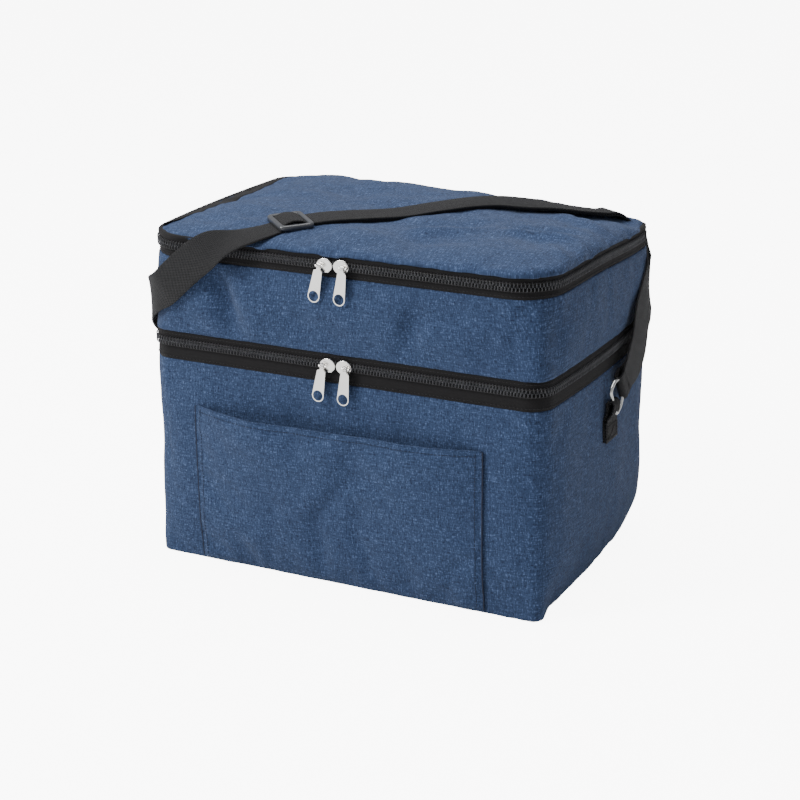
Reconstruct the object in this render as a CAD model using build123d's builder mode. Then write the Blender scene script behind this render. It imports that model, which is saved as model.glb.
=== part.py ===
from build123d import *
import math
import os

# Insulated two-compartment cooler bag with a carry strap lying over its lid.
# Millimetres.  Origin: centre of the base, on the floor.  +Z up, +X to the
# right seen from the front, the front faces -Y.

# Envelope
width = 350.0            # X, outside of the shell at the corners
depth = 222.0            # Y
side_bow = 5.0           # how far the side walls bow outwards at mid depth
foot_r = 9.0             # front corner radius at the base
corner_r = 18.0          # front corner radius either side of the main zip
top_corner_r = 32.0      # front corner radius at the lid
back_r = 12.0            # back corner radius, all the way up
min_corner_r = 2.5       # least corner radius of an inset outline
half_w, half_d = width / 2, depth / 2
x_side = half_w + side_bow

# Levels
z_lower_top = 172.7      # top edge of the lower shell, bottom of the main band
z_upper_bottom = 196.4   # bottom edge of the upper shell, top of the main band
z_upper_top = 259.1      # top edge of the upper shell, bottom of the top band
z_lid_edge = 276.4       # edge of the lid, top of the top band
z_main_zip = 187.6       # centre line of the main zip chain
z_top_zip = 268.8        # centre line of the top zip chain

# Materials
shell_t = 1.0            # coated polyester with its backing
foam_t = 5.0             # closed-cell foam
liner_t = 0.4            # foil liner
board_t = 2.0            # stiffening board
web_t = 1.6              # strap webbing
web_w = 30.0             # strap width

# Clearances
seam_gap = 0.1           # between parts that are sewn together
layer_gap = 0.2          # between stacked layers
edge_drop = 0.6          # wall foam and liners stop this far below the shell's edge

os.makedirs("parts", exist_ok=True)


# ---------------------------------------------------------------------------
# Shared shapes
# ---------------------------------------------------------------------------
def outline(sketch, inset, radius):
    """Plan outline of the bag, moved inwards by inset: straight front and
    back, side walls bowed outwards, rounded corners.  The radius is that of
    the front corners where the outline is not inset; the back has its own."""
    w, d = half_w - inset, half_d - inset
    with BuildLine(Plane.XY) as plan:
        Line((-w, -d), (w, -d))
        ThreePointArc((w, -d), (w + side_bow, 0), (w, d))
        Line((w, d), (-w, d))
        ThreePointArc((-w, d), (-w - side_bow, 0), (-w, -d))
    make_face(plan.edges())
    fillet([v for v in sketch.vertices() if v.Y < 0],
           radius=max(radius - inset, min_corner_r))
    fillet([v for v in sketch.vertices() if v.Y > d - 0.5],
           radius=max(back_r - inset, min_corner_r))


def ring_outline(sketch, inset_out, inset_in, radius):
    """Closed band between two insets of the plan outline."""
    outline(sketch, inset_out, radius)
    with BuildSketch(Plane.XY, mode=Mode.PRIVATE) as hole:
        outline(hole, inset_in, radius)
    add(hole.sketch_local, mode=Mode.SUBTRACT)


# The next two helpers hand their sketches over explicitly: a sketch made in a
# helper does not join the part that calls it.
def loft_wall(z0, z1, inset_out, inset_in, r0, r1):
    """A thin band whose front corner radius grows from r0 to r1."""
    for inset, mode in ((inset_out, Mode.ADD), (inset_in, Mode.SUBTRACT)):
        with BuildSketch(Plane.XY.offset(z0)) as low:
            outline(low, inset, r0)
        with BuildSketch(Plane.XY.offset(z1)) as high:
            outline(high, inset, r1)
        loft([low.sketch, high.sketch], mode=mode)


def cut_across(y0, y1, z0, z1):
    """Takes away everything between y0 and y1, over the levels z0 to z1."""
    margin = 1
    with BuildSketch(Plane.XY.offset(z0 - margin)) as cut:
        with Locations((0, (y0 + y1) / 2)):
            Rectangle(width + 60, y1 - y0)
    extrude(cut.sketch, amount=z1 - z0 + 2 * margin, mode=Mode.SUBTRACT)


def finish(builder, name):
    """Labels a piece and writes its file."""
    builder.part.label = name
    export_step(builder.part, "parts/" + name + ".step")


def sheet(name, z, inset, radius, thickness):
    """Flat layer that follows the plan outline."""
    with BuildPart() as layer:
        with BuildSketch(Plane.XY.offset(z)) as plan:
            outline(plan, inset, radius)
        extrude(amount=thickness)
    finish(layer, name)


def wall(name, z0, z1, inset, thickness, r0, r1):
    """Upright band round a compartment."""
    with BuildPart() as band:
        loft_wall(z0, z1, inset, inset + thickness, r0, r1)
    finish(band, name)


def liner_tub(name, z_bottom, z_edge, inset, r0, r1):
    """Foil liner, a tub open at the top; the cavity overshoots its rim."""
    with BuildPart() as tub:
        with BuildSketch(Plane.XY.offset(z_bottom)) as low:
            outline(low, inset, r0)
        with BuildSketch(Plane.XY.offset(z_edge - edge_drop)) as high:
            outline(high, inset, r1)
        loft()
        with BuildSketch(Plane.XY.offset(z_bottom + liner_t)) as low:
            outline(low, inset + liner_t, r0)
        with BuildSketch(Plane.XY.offset(z_edge + 0.4)) as high:
            outline(high, inset + liner_t, r1)
        loft(mode=Mode.SUBTRACT)
    finish(tub, name)


# ---------------------------------------------------------------------------
# Lower compartment
# ---------------------------------------------------------------------------
foam_inset = shell_t + 0.4         # outer face of the wall foam
lower_liner_inset = 6.9
base_inset, base_r = 7.2, 15       # board and foam in the bottom
z_board = shell_t + layer_gap
z_base_foam = z_board + board_t + layer_gap
z_lower_liner = z_base_foam + foam_t + layer_gap

wall("lower_shell", z_board, z_lower_top, 0, shell_t, foot_r, corner_r)
wall("lower_foam", z_board, z_lower_top - edge_drop, foam_inset, foam_t, foot_r, corner_r)
sheet("base_panel", 0, 0, foot_r, shell_t)
sheet("base_board", z_board, base_inset, base_r, board_t)
sheet("base_foam", z_base_foam, base_inset, base_r, foam_t)
liner_tub("lower_liner", z_lower_liner, z_lower_top, lower_liner_inset,
          foot_r + 3.0, corner_r + 2.0)

# Front pocket
pocket_x0, pocket_x1 = -131.0, 126.5
pocket_bottom, pocket_top = 1.5, 137.0
pocket_gap = 2.0                   # room between the wall and the panel
pocket_seam = 6.0                  # width of the sewn strip at each side
z_pocket_floor = 9.0
pocket_x = (pocket_x0 + pocket_x1) / 2
pocket_w = pocket_x1 - pocket_x0
y_off_pocket = half_d + seam_gap   # back of the pocket, in front of the origin
hem_t, hem_h = 0.8, 8.0
hem_drop = 4.5                     # pocket's top edge to the middle of the hem


def front_pocket():
    """Slip pocket: a panel standing off the wall, closed at sides and bottom."""
    with BuildPart() as pocket:
        with BuildSketch(Plane.XZ.offset(y_off_pocket)):
            with Locations((pocket_x, (pocket_bottom + pocket_top) / 2)):
                Rectangle(pocket_w, pocket_top - pocket_bottom)
        extrude(amount=pocket_gap + shell_t)
        cavity_h = 200             # runs out past the top edge
        with BuildSketch(Plane.XZ.offset(y_off_pocket)):
            with Locations((pocket_x, z_pocket_floor + cavity_h / 2)):
                Rectangle(pocket_w - 2 * pocket_seam, cavity_h)
        extrude(amount=pocket_gap, mode=Mode.SUBTRACT)
    finish(pocket, "front_pocket")


def pocket_hem():
    """Turned hem behind the pocket's top edge."""
    with BuildPart() as hem:
        with BuildSketch(Plane.XZ.offset(y_off_pocket + pocket_gap - seam_gap - hem_t)):
            with Locations((pocket_x, pocket_top - hem_drop)):
                Rectangle(pocket_w - 2 * (pocket_seam + 1), hem_h)
        extrude(amount=hem_t)
    finish(hem, "pocket_hem")


front_pocket()
pocket_hem()

# ---------------------------------------------------------------------------
# Upper compartment: its floor is the insulated divider over the lower one
# ---------------------------------------------------------------------------
upper_liner_inset = 7.3
divider_inset, divider_r = 7.6, corner_r + 2
z_facing = z_upper_bottom + layer_gap          # foil under the divider
z_divider_foam = z_facing + liner_t + layer_gap
z_upper_liner = z_divider_foam + foam_t + layer_gap

wall("upper_shell", z_upper_bottom, z_upper_top, 0, shell_t, corner_r, top_corner_r)
wall("upper_foam", z_upper_bottom + 0.4, z_upper_top - edge_drop, foam_inset, foam_t,
     corner_r, top_corner_r)
sheet("divider_facing", z_facing, divider_inset, divider_r, liner_t)
sheet("divider_foam", z_divider_foam, divider_inset, divider_r, foam_t)
liner_tub("upper_liner", z_upper_liner, z_upper_top, upper_liner_inset,
          corner_r + 3.0, top_corner_r + 2.0)

# ---------------------------------------------------------------------------
# Zips round the front and sides, and the fabric hinges across the back.
# Insets run inwards from the shell's face; a negative one stands proud of it.
# ---------------------------------------------------------------------------
tape_t = 0.6             # zip tape
tape_in = 0.9            # tape's outer face
chain_t = 2.1            # how far the coil stands off the tape
chain_half = 4.0         # width of one half of the chain
split = 0.6              # half of the gap between the two halves
chain_in = tape_in - seam_gap
chain_out = chain_in - chain_t
tape_insets = tape_in, tape_in + tape_t
chain_insets = chain_out, chain_in
stop_half = 4.8          # half the height of the sewn stops
stop_l = 4.0
end_gap = 0.3            # from the chain's rear ends to the stops and the hinge
main_end_y = half_d - 17           # rear ends of the chains
top_end_y = half_d - 19


def band(name, z0, z1, insets, radius, y_front=None, y_back=None):
    """Band round the bag, kept only between y_front and y_back where given."""
    with BuildPart() as strip:
        with BuildSketch(Plane.XY.offset(z0)) as plan:
            ring_outline(plan, *insets, radius)
        extrude(amount=z1 - z0)
        if y_back is not None:
            cut_across(y_back, y_back + 200, z0, z1)
        if y_front is not None:
            cut_across(y_front - 400, y_front, z0, z1)
    finish(strip, name)


def zip_and_hinge(zip_name, hinge_name, z_bottom, z_zip, z_top, radius, end_y):
    """Two tapes, two chain halves, a stop at each rear end, and the hinge."""
    z_bottom += seam_gap
    z_top -= seam_gap
    halves = [
        ("_lower_tape", z_bottom, z_zip - split, tape_insets),
        ("_lower_chain", z_zip - split - chain_half, z_zip - split, chain_insets),
        ("_upper_tape", z_zip + split, z_top, tape_insets),
        ("_upper_chain", z_zip + split, z_zip + split + chain_half, chain_insets),
    ]
    for suffix, z0, z1, insets in halves:
        band(zip_name + suffix, z0, z1, insets, radius, y_back=end_y)
    behind_y = end_y + end_gap
    band(zip_name + "_stops", z_zip - stop_half, z_zip + stop_half, chain_insets, radius,
         y_front=behind_y, y_back=behind_y + stop_l)
    band(hinge_name, z_bottom, z_top, tape_insets, radius, y_front=behind_y)


zip_and_hinge("main_zip", "main_hinge_strip", z_lower_top, z_main_zip, z_upper_bottom,
              corner_r, main_end_y)
zip_and_hinge("top_zip", "lid_hinge_strip", z_upper_top, z_top_zip, z_lid_edge,
              top_corner_r, top_end_y)

# ---------------------------------------------------------------------------
# Lid: a crowned outer panel, a foam sheet and a foil liner
# ---------------------------------------------------------------------------
lid_crown = 10.0         # height of the lid's crown over its edge
lid_t = 0.9              # how far the hollow is inset from the panel's outside
# Share of the crown's height, inset of the outline there
crown = [(0.0, 0.0), (0.30, 1.5), (0.60, 8.0), (0.85, 22.0), (1.0, 46.0)]


def lid_panel():
    surfaces = (
        (z_lid_edge + 0.1, 0, Mode.ADD),
        (z_lid_edge - 0.9, lid_t, Mode.SUBTRACT),
    )
    with BuildPart() as panel:
        for z_edge, extra_inset, mode in surfaces:
            for rise, inset in crown:
                with BuildSketch(Plane.XY.offset(z_edge + rise * lid_crown)) as level:
                    outline(level, inset + extra_inset, top_corner_r)
            loft(ruled=True, mode=mode)
    finish(panel, "lid_panel")


lid_panel()
sheet("lid_foam", z_lid_edge + 0.3, 13, top_corner_r + 6, foam_t)
sheet("lid_liner", z_lid_edge - 0.5, 2.6, top_corner_r, liner_t)

# ---------------------------------------------------------------------------
# Zip sliders and their pulls, built once about x = 0, z = 0 at the front wall.
# The master slider is the left-hand one.
# ---------------------------------------------------------------------------
slider_l, slider_h = 13.6, 11.6
slider_clear = 0.2
plate_t = 1.3            # front plate
back_plate_t = 1.0
post_x, post_w = 4.4, 2.6
flange_w, flange_t = 6.0, 1.0
leg_dx = 2.8             # staple's legs, either side of the bar's centre
leg_w, leg_h = 1.2, 1.8
bar_r = 0.8              # bar the pull hangs on
bar_l = 6.2
overlap = 0.1            # joined features run this far into each other
pull_dx = 3.1            # bar centre, off the slider's centre
pull_l = 30.5            # bar to the bottom of the pull
pull_t = 1.4
pull_end_r = 5.2         # round bottom end, and half the pull's greatest width
pull_hole_r = 4.3
eye_r = 1.25             # bore of the pull's rolled eye
eye_wall = 0.8
eye_w = 3.0

# Places in depth; the front is towards -Y
y_tape_out = -(half_d - tape_in)
y_plate_in = -(half_d - chain_out) - slider_clear       # back of the front plate
y_plate_out = y_plate_in - plate_t
y_back_plate = y_tape_out + tape_t + slider_clear       # front of the back plate
y_flange = y_tape_out - slider_clear                    # back of the flange
y_bar = y_plate_out - 2.35                              # axis of the pull's bar

# Name, z, then x of the slider's centre and tilt of its pull for the left and
# the right one.  The tilt is in degrees, the pull's bottom towards -X.
slider_pairs = [
    ("main", z_main_zip, (-7.7, 10.0), (6.7, 6.0)),
    ("top", z_top_zip, (-8.2, 12.0), (6.2, 8.0)),
]


def build_slider():
    """Front and back plates joined by a post, with a staple in front."""
    with BuildPart() as slider:
        # front plate, an oval disc
        with BuildSketch(Plane.XZ.offset(-y_plate_in)):
            Ellipse(slider_l / 2, slider_h / 2)
        extrude(amount=plate_t)
        fillet(slider.faces().sort_by(Axis.Y)[0].edges(), radius=0.5)
        # post between the chain halves
        with BuildSketch(Plane.XZ.offset(-y_back_plate - overlap)):
            with Locations((post_x, 0)):
                Rectangle(post_w, 2 * (split - slider_clear))
        extrude(amount=y_back_plate - y_plate_in + 2 * overlap)
        # back plate
        with BuildSketch(Plane.XZ.offset(-y_back_plate - back_plate_t)):
            with Locations((0, -0.6)):
                RectangleRounded(slider_l - 1.2, slider_h - 2.0, 2.4)
        extrude(amount=back_plate_t)
        # flange that hooks under the lower half of the chain
        with BuildSketch(Plane.XZ.offset(-y_flange)):
            with Locations((0, -(split + chain_half + slider_clear + flange_t / 2))):
                Rectangle(flange_w, flange_t)
        extrude(amount=y_flange - y_plate_in + overlap)
        # staple: two legs and a round bar along the chain
        with BuildSketch(Plane.XZ.offset(-y_plate_out - 2 * overlap)):
            with Locations((-pull_dx - leg_dx, 0), (-pull_dx + leg_dx, 0)):
                Rectangle(leg_w, leg_h)
        extrude(amount=y_plate_out - y_bar + 0.4 + 2 * overlap)
        with BuildSketch(Plane.YZ.offset(-pull_dx - bar_l / 2)):
            with Locations((y_bar, 0)):
                Circle(bar_r)
        extrude(amount=bar_l)
    return slider.part


def build_pull():
    """Flat pull with a round hole low down, hung from the bar by a rolled eye."""
    neck, shoulder = eye_w / 2, 3.7            # half widths
    z_end = -(pull_l - pull_end_r)
    with BuildPart() as pull:
        with BuildSketch(Plane.XZ.offset(-y_bar - pull_t / 2)):
            with BuildLine():
                Polyline((-neck, -0.8), (-neck, -3.0), (-shoulder, -4.4),
                         (-pull_end_r, z_end), (pull_end_r, z_end),
                         (shoulder, -4.4), (neck, -3.0), (neck, -0.8), (-neck, -0.8))
            make_face()
            with Locations((0, z_end)):
                Circle(pull_end_r)
                Circle(pull_hole_r, mode=Mode.SUBTRACT)
        extrude(amount=pull_t)
        with BuildSketch(Plane.YZ.offset(-eye_w / 2)):
            with Locations((y_bar, 0)):
                Circle(eye_r + eye_wall)
        extrude(amount=eye_w)
        bore_l = eye_w + 0.6
        with BuildSketch(Plane.YZ.offset(-bore_l / 2)):
            with Locations((y_bar, 0)):
                Circle(eye_r)
        extrude(amount=bore_l, mode=Mode.SUBTRACT)
    return pull.part


def place(name, shape, x, z, tilt=0):
    with BuildPart() as placed:
        with Locations(Location((x, 0, z), (0, tilt, 0))):
            add(shape)
    finish(placed, name)


left_slider = build_slider()
right_slider = mirror(left_slider, about=Plane.YZ)
pull_shape = build_pull()

for zip_name, z, (x_left, tilt_left), (x_right, tilt_right) in slider_pairs:
    place(zip_name + "_slider_left", left_slider, x_left, z)
    place(zip_name + "_slider_right", right_slider, x_right, z)
    place(zip_name + "_pull_left", pull_shape, x_left - pull_dx, z, tilt_left)
    place(zip_name + "_pull_right", pull_shape, x_right + pull_dx, z, tilt_right)

# ---------------------------------------------------------------------------
# Strap anchors: a webbing tab sewn to each side wall, and a ring above it
# ---------------------------------------------------------------------------
tab_y, tab_z = 2.0, 117.0          # centre in depth, lowest edge
tab_w, tab_h = 24.0, 30.0
tab_t = 2 * web_t                  # doubled webbing
stitch_w, stitch_h = tab_w - 6, 11.0
stitch_line = 1.0                  # width of the stitch line
stitch_t = 0.4
ring_x, ring_z = 187.4, 148.0      # centre of the ring's straight bar
ring_wire_r = 1.7
ring_lean = math.radians(60.0)     # from upright, with the strap
# Ring's centre line: x along the straight bar, y towards the bow
ring_points = [(-14, 0), (14, 0), (14, 11), (9, 19.5), (-9, 19.5), (-14, 11)]
sides = (("right", 1), ("left", -1))


def side_tab(name, side):
    with BuildPart() as tab:
        with BuildSketch(Plane.YZ.offset(side * (x_side + seam_gap))):
            with Locations((tab_y, tab_z + tab_h / 2)):
                RectangleRounded(tab_w, tab_h, 2)
        extrude(amount=side * tab_t)
    finish(tab, name)


def tab_stitching():
    """Thread of the box stitch that holds each tab, one solid a side."""
    with BuildPart() as stitching:
        for _, side in sides:
            with BuildSketch(Plane.YZ.offset(side * (x_side + seam_gap + tab_t + 0.05))):
                with Locations((tab_y, tab_z + 8)):
                    Rectangle(stitch_w, stitch_h)
                    Rectangle(stitch_w - 2 * stitch_line, stitch_h - 2 * stitch_line,
                              mode=Mode.SUBTRACT)
            extrude(amount=side * stitch_t)
    finish(stitching, "tab_stitching")


def strap_ring(name, side):
    """Wire ring.  The right one leans to the back, the left one forwards."""
    plane = Plane(origin=(side * ring_x, tab_y, ring_z),
                  x_dir=(0, math.cos(ring_lean), -side * math.sin(ring_lean)),
                  z_dir=(1, 0, 0))
    with BuildPart() as ring:
        with BuildLine(plane) as wire_path:
            FilletPolyline(*ring_points, radius=4.0, close=True)
        with BuildSketch(Plane(origin=wire_path.line @ 0, z_dir=wire_path.line % 0)):
            Circle(ring_wire_r)
        sweep()
    finish(ring, name)


for side_name, side in sides:
    side_tab("side_tab_" + side_name, side)
    strap_ring("strap_ring_" + side_name, side)
tab_stitching()

# ---------------------------------------------------------------------------
# Carry strap, from the left ring over the lid to the right ring
# ---------------------------------------------------------------------------
# Sections of webbing: centre, direction the webbing runs in, direction of its width
strap_stations = [
    ((-191.5, -37.5, 172.0), (0.02, -0.82, 0.57), (0, 0.57, 0.82)),
    ((-190.0, -60.0, 187.5), (0.03, -0.80, 0.60), (0, 0.60, 0.80)),
    ((-187.0, -86.0, 208.0), (0.25, -0.68, 0.65), (-0.1, 0.65, 0.72)),
    ((-176.5, -110.0, 222.0), (0.75, -0.45, 0.50), (-0.40, 0.25, 0.80)),
    ((-157.0, -117.5, 235.0), (0.76, -0.08, 0.65), (-0.62, 0.0, 0.75)),
    ((-138.0, -119.0, 252.0), (0.75, 0.0, 0.66), (-0.62, 0.0, 0.75)),
    ((-115.0, -119.0, 269.0), (0.82, 0.03, 0.55), (-0.55, 0.1, 0.8)),
    ((-95.0, -117.5, 281.0), (0.80, 0.25, 0.40), (-0.55, 0.35, 0.7)),
    ((-80.0, -107.0, 289.5), (0.55, 0.78, 0.20), (-0.78, 0.58, 0.2)),
    ((-69.0, -88.0, 289.5), (0.60, 0.80, 0.02), (-0.78, 0.62, 0)),
    ((-45.0, -60.0, 289.5), (0.72, 0.69, 0.0), (-0.69, 0.72, 0)),
    ((-16.0, -35.0, 289.5), (0.75, 0.66, 0.0), (-0.66, 0.75, 0)),
    ((31.0, 8.0, 290.0), (0.72, 0.69, 0.01), (-0.69, 0.72, 0)),
    ((60.0, 35.0, 291.0), (0.82, 0.57, 0.02), (-0.57, 0.82, 0)),
    ((100.0, 53.0, 292.0), (0.93, 0.36, 0.0), (-0.36, 0.93, 0)),
    ((128.0, 68.0, 292.0), (0.88, 0.46, -0.05), (-0.46, 0.88, 0)),
    ((150.0, 84.0, 291.0), (0.80, 0.52, -0.25), (-0.55, 0.83, 0)),
    ((169.0, 103.0, 286.5), (0.60, 0.45, -0.62), (-0.60, 0.78, 0)),
    ((181.5, 110.5, 268.0), (0.35, 0.0, -0.93), (-0.55, 0.83, 0)),
    ((187.5, 101.0, 248.0), (0.18, -0.42, -0.88), (-0.2, 0.88, -0.42)),
    ((190.0, 84.0, 222.0), (0.05, -0.52, -0.85), (0, 0.85, -0.52)),
    ((191.5, 66.0, 196.0), (0.0, -0.62, -0.78), (0, 0.78, -0.62)),
    ((191.5, 45.5, 173.5), (0.0, -0.80, -0.60), (0, 0.60, -0.80)),
]
# Doubled ends: name, centre at the strap, centre at the ring, run, width direction
strap_ends = [
    ("strap_loop_right", (191.5, 44.5, 172.8), (193.6, 20.0, 157.5),
     (0.0, -0.84, -0.55), (0, 0.55, -0.84)),
    ("strap_loop_left", (-191.6, -36.5, 171.3), (-193.6, -16.0, 157.5),
     (0.0, 0.82, -0.57), (0, 0.57, 0.82)),
]
loop_t = 2 * web_t + 0.4

# Adjuster
adjuster_plane = Plane(origin=(-58.0, -74.0, 291.1), x_dir=(-0.74, 0.67, 0.0),
                       z_dir=(0, 0, 1))
adjuster_l, adjuster_w, adjuster_t = 40.0, 27.0, 3.2
slot_l, slot_w, slot_y = 32.4, 6.2, 6.6


def web_plane(centre, run, across):
    """Section plane of the webbing; x is across its width."""
    normal = Vector(*run).normalized()
    x_dir = Vector(*across)
    x_dir = (x_dir - normal * x_dir.dot(normal)).normalized()
    return Plane(origin=centre, x_dir=x_dir, z_dir=normal)


def strap_webbing():
    with BuildPart() as webbing:
        for first, second in zip(strap_stations, strap_stations[1:]):
            with BuildSketch(web_plane(*first)):
                Rectangle(web_w, web_t)
            with BuildSketch(web_plane(*second)):
                Rectangle(web_w, web_t)
            loft(ruled=True)
    finish(webbing, "strap_webbing")


def strap_loop(name, at_strap, at_ring, run, across):
    """Doubled end of the webbing, narrowing a little towards the ring."""
    with BuildPart() as loop:
        with BuildSketch(web_plane(at_strap, run, across)):
            Rectangle(web_w, loop_t)
        with BuildSketch(web_plane(at_ring, run, across)):
            Rectangle(web_w - 4, loop_t)
        loft(ruled=True)
    finish(loop, name)


def strap_adjuster():
    """Tri-glide lying on the webbing: a frame with a middle bar."""
    with BuildPart() as adjuster:
        with BuildSketch(adjuster_plane):
            RectangleRounded(adjuster_l, adjuster_w, 3.0)
            with Locations((0, slot_y), (0, -slot_y)):
                RectangleRounded(slot_l, slot_w, 1.2, mode=Mode.SUBTRACT)
        extrude(amount=adjuster_t)
        fillet(adjuster.faces().sort_by(Axis.Z)[-1].outer_wire().edges(), radius=0.8)
    finish(adjuster, "strap_adjuster")


strap_webbing()
for strap_end in strap_ends:
    strap_loop(*strap_end)
strap_adjuster()
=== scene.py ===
"""A soft insulated bag with a shoulder strap.

A tall lower compartment and a shallow upper one are zipped together, with a zipped lid on
top and a slip pocket on the front. The base lies on z = 0, centred on the origin. The front
faces -Y, the left is -X. Sizes are in mm and go to metres where meshes are made.
"""

import math

import bmesh
import bpy
import numpy as np
from mathutils import Matrix, Vector


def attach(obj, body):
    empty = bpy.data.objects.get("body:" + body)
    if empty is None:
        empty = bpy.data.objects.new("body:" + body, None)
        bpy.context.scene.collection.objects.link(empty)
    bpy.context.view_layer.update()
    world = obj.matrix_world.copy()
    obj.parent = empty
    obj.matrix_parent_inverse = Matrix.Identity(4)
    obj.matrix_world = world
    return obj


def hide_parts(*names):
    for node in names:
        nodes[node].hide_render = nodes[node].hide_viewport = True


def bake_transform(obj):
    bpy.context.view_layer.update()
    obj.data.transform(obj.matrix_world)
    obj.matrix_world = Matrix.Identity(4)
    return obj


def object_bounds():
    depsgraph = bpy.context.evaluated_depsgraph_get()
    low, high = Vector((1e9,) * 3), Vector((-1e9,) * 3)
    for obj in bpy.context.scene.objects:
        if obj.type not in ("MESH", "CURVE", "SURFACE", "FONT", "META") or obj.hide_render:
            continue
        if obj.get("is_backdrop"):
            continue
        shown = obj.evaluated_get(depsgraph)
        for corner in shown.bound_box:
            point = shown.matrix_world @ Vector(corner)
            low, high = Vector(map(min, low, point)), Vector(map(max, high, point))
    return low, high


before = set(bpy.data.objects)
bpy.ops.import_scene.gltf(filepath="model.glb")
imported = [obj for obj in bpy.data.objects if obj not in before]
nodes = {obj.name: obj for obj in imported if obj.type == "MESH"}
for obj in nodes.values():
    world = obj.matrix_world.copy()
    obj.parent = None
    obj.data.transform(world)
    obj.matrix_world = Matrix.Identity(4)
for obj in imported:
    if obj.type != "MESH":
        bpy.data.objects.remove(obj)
cad_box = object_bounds()
scene = bpy.context.scene

# ---------------------------------------------------------------- driving sizes
MM = 0.001
HALF_W, HALF_D = 175.0, 111.0
BOW = 5.0                                   # how far the sides bulge in plan
LOW_TOP = 172.7                             # top of the lower wall
UP_BOT, UP_TOP = 196.4, 259.1               # bottom and top of the upper wall
LID_Z = 276.4                               # height of the lid's edge
MAIN_Z, TOP_Z = 187.6, 268.8                # middle of each zip
R_FOOT, R_LOW, R_TOP, R_BACK = 9.0, 18.0, 32.0, 12.0   # plan corner radii
RING_X, RING_Y, RING_Z = 187.4, 2.0, 148.0  # straight bar of the right strap ring
BOW_REACH = 19.5                            # from a ring's bar to its bow
BOW_LEAN = math.radians(60)
CORNER_STEPS, SIDE_STEPS, FRONT_STEPS, BACK_STEPS = 14, 56, 96, 96


# ---------------------------------------------------------------- numeric tools
def smooth(t):
    t = np.clip(t, 0.0, 1.0)
    return t * t * (3 - 2 * t)


def lattice(ix, iy, seed):
    """Repeatable value in 0..1 for each whole-number grid point."""
    n = ix.astype(np.int64) * 374761393 + iy.astype(np.int64) * 668265263 + seed * 974634777
    n = n & 0x7FFFFFFF
    n = ((n ^ (n >> 13)) * 1274126177) & 0x7FFFFFFF
    return ((n ^ (n >> 16)) & 0xFFFF) / 65535.0


def value_noise(x, y, seed):
    """Smooth noise in -1..1."""
    x, y = np.asarray(x, float), np.asarray(y, float)
    ix, iy = np.floor(x), np.floor(y)
    fx, fy = x - ix, y - iy
    ux = fx * fx * fx * (fx * (fx * 6 - 15) + 10)
    uy = fy * fy * fy * (fy * (fy * 6 - 15) + 10)
    near = lattice(ix, iy, seed) * (1 - ux) + lattice(ix + 1, iy, seed) * ux
    far = lattice(ix, iy + 1, seed) * (1 - ux) + lattice(ix + 1, iy + 1, seed) * ux
    return 2 * (near * (1 - uy) + far * uy) - 1


def fbm(x, y, seed, octaves=3):
    """Noise summed over octaves, each half as strong and twice as fine."""
    return sum(0.5 ** k * value_noise(x * 2 ** k, y * 2 ** k, seed + 17 * k)
               for k in range(octaves))


def bumps(x, y, table):
    """Sum of soft bumps. Rows: height, centre x, y, spread x, y, turn in degrees."""
    total = 0.0
    for height, cx, cy, spread_x, spread_y, turn in table:
        c, s = math.cos(math.radians(turn)), math.sin(math.radians(turn))
        dx, dy = x - cx, y - cy
        along, across = dx * c + dy * s, -dx * s + dy * c
        total = total + height * np.exp(
            -0.5 * ((along / spread_x) ** 2 + (across / spread_y) ** 2))
    return total


def folds(x, y, table):
    """Sum of straight folds, a ridge beside a trough. Rows: x0, y0, x1, y1, width, height."""
    total = 0.0
    for x0, y0, x1, y1, width, height in table:
        length = math.hypot(x1 - x0, y1 - y0)
        ux, uy = (x1 - x0) / length, (y1 - y0) / length
        along = (x - x0) * ux + (y - y0) * uy
        across = -(x - x0) * uy + (y - y0) * ux
        ridge = np.exp(-(across / width) ** 2)
        trough = np.exp(-((across - 2.1 * width) / (1.3 * width)) ** 2)
        ends = smooth(np.minimum(along, length - along) / (0.35 * length))
        total = total + height * (ridge - 0.55 * trough) * ends
    return total


def unit(vectors):
    return vectors / (np.linalg.norm(vectors, axis=-1, keepdims=True) + 1e-12)


def arclen(path):
    return np.concatenate([[0], np.cumsum(np.linalg.norm(np.diff(path, axis=0), axis=1))])


def catmull(stations, per):
    """Smooth curve through the stations, with so many steps between each two."""
    stations = np.asarray(stations, float)
    ends = np.concatenate([2 * stations[:1] - stations[1:2], stations,
                           2 * stations[-1:] - stations[-2:-1]])
    curve = []
    for a, b, c, d in zip(ends, ends[1:], ends[2:], ends[3:]):
        for t in np.linspace(0, 1, per, endpoint=False):
            curve.append(0.5 * (2 * b + (c - a) * t + (2 * a - 5 * b + 4 * c - d) * t * t
                                + (-a + 3 * b - 3 * c + d) * t ** 3))
    curve.append(ends[-2])
    return np.array(curve)


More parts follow.
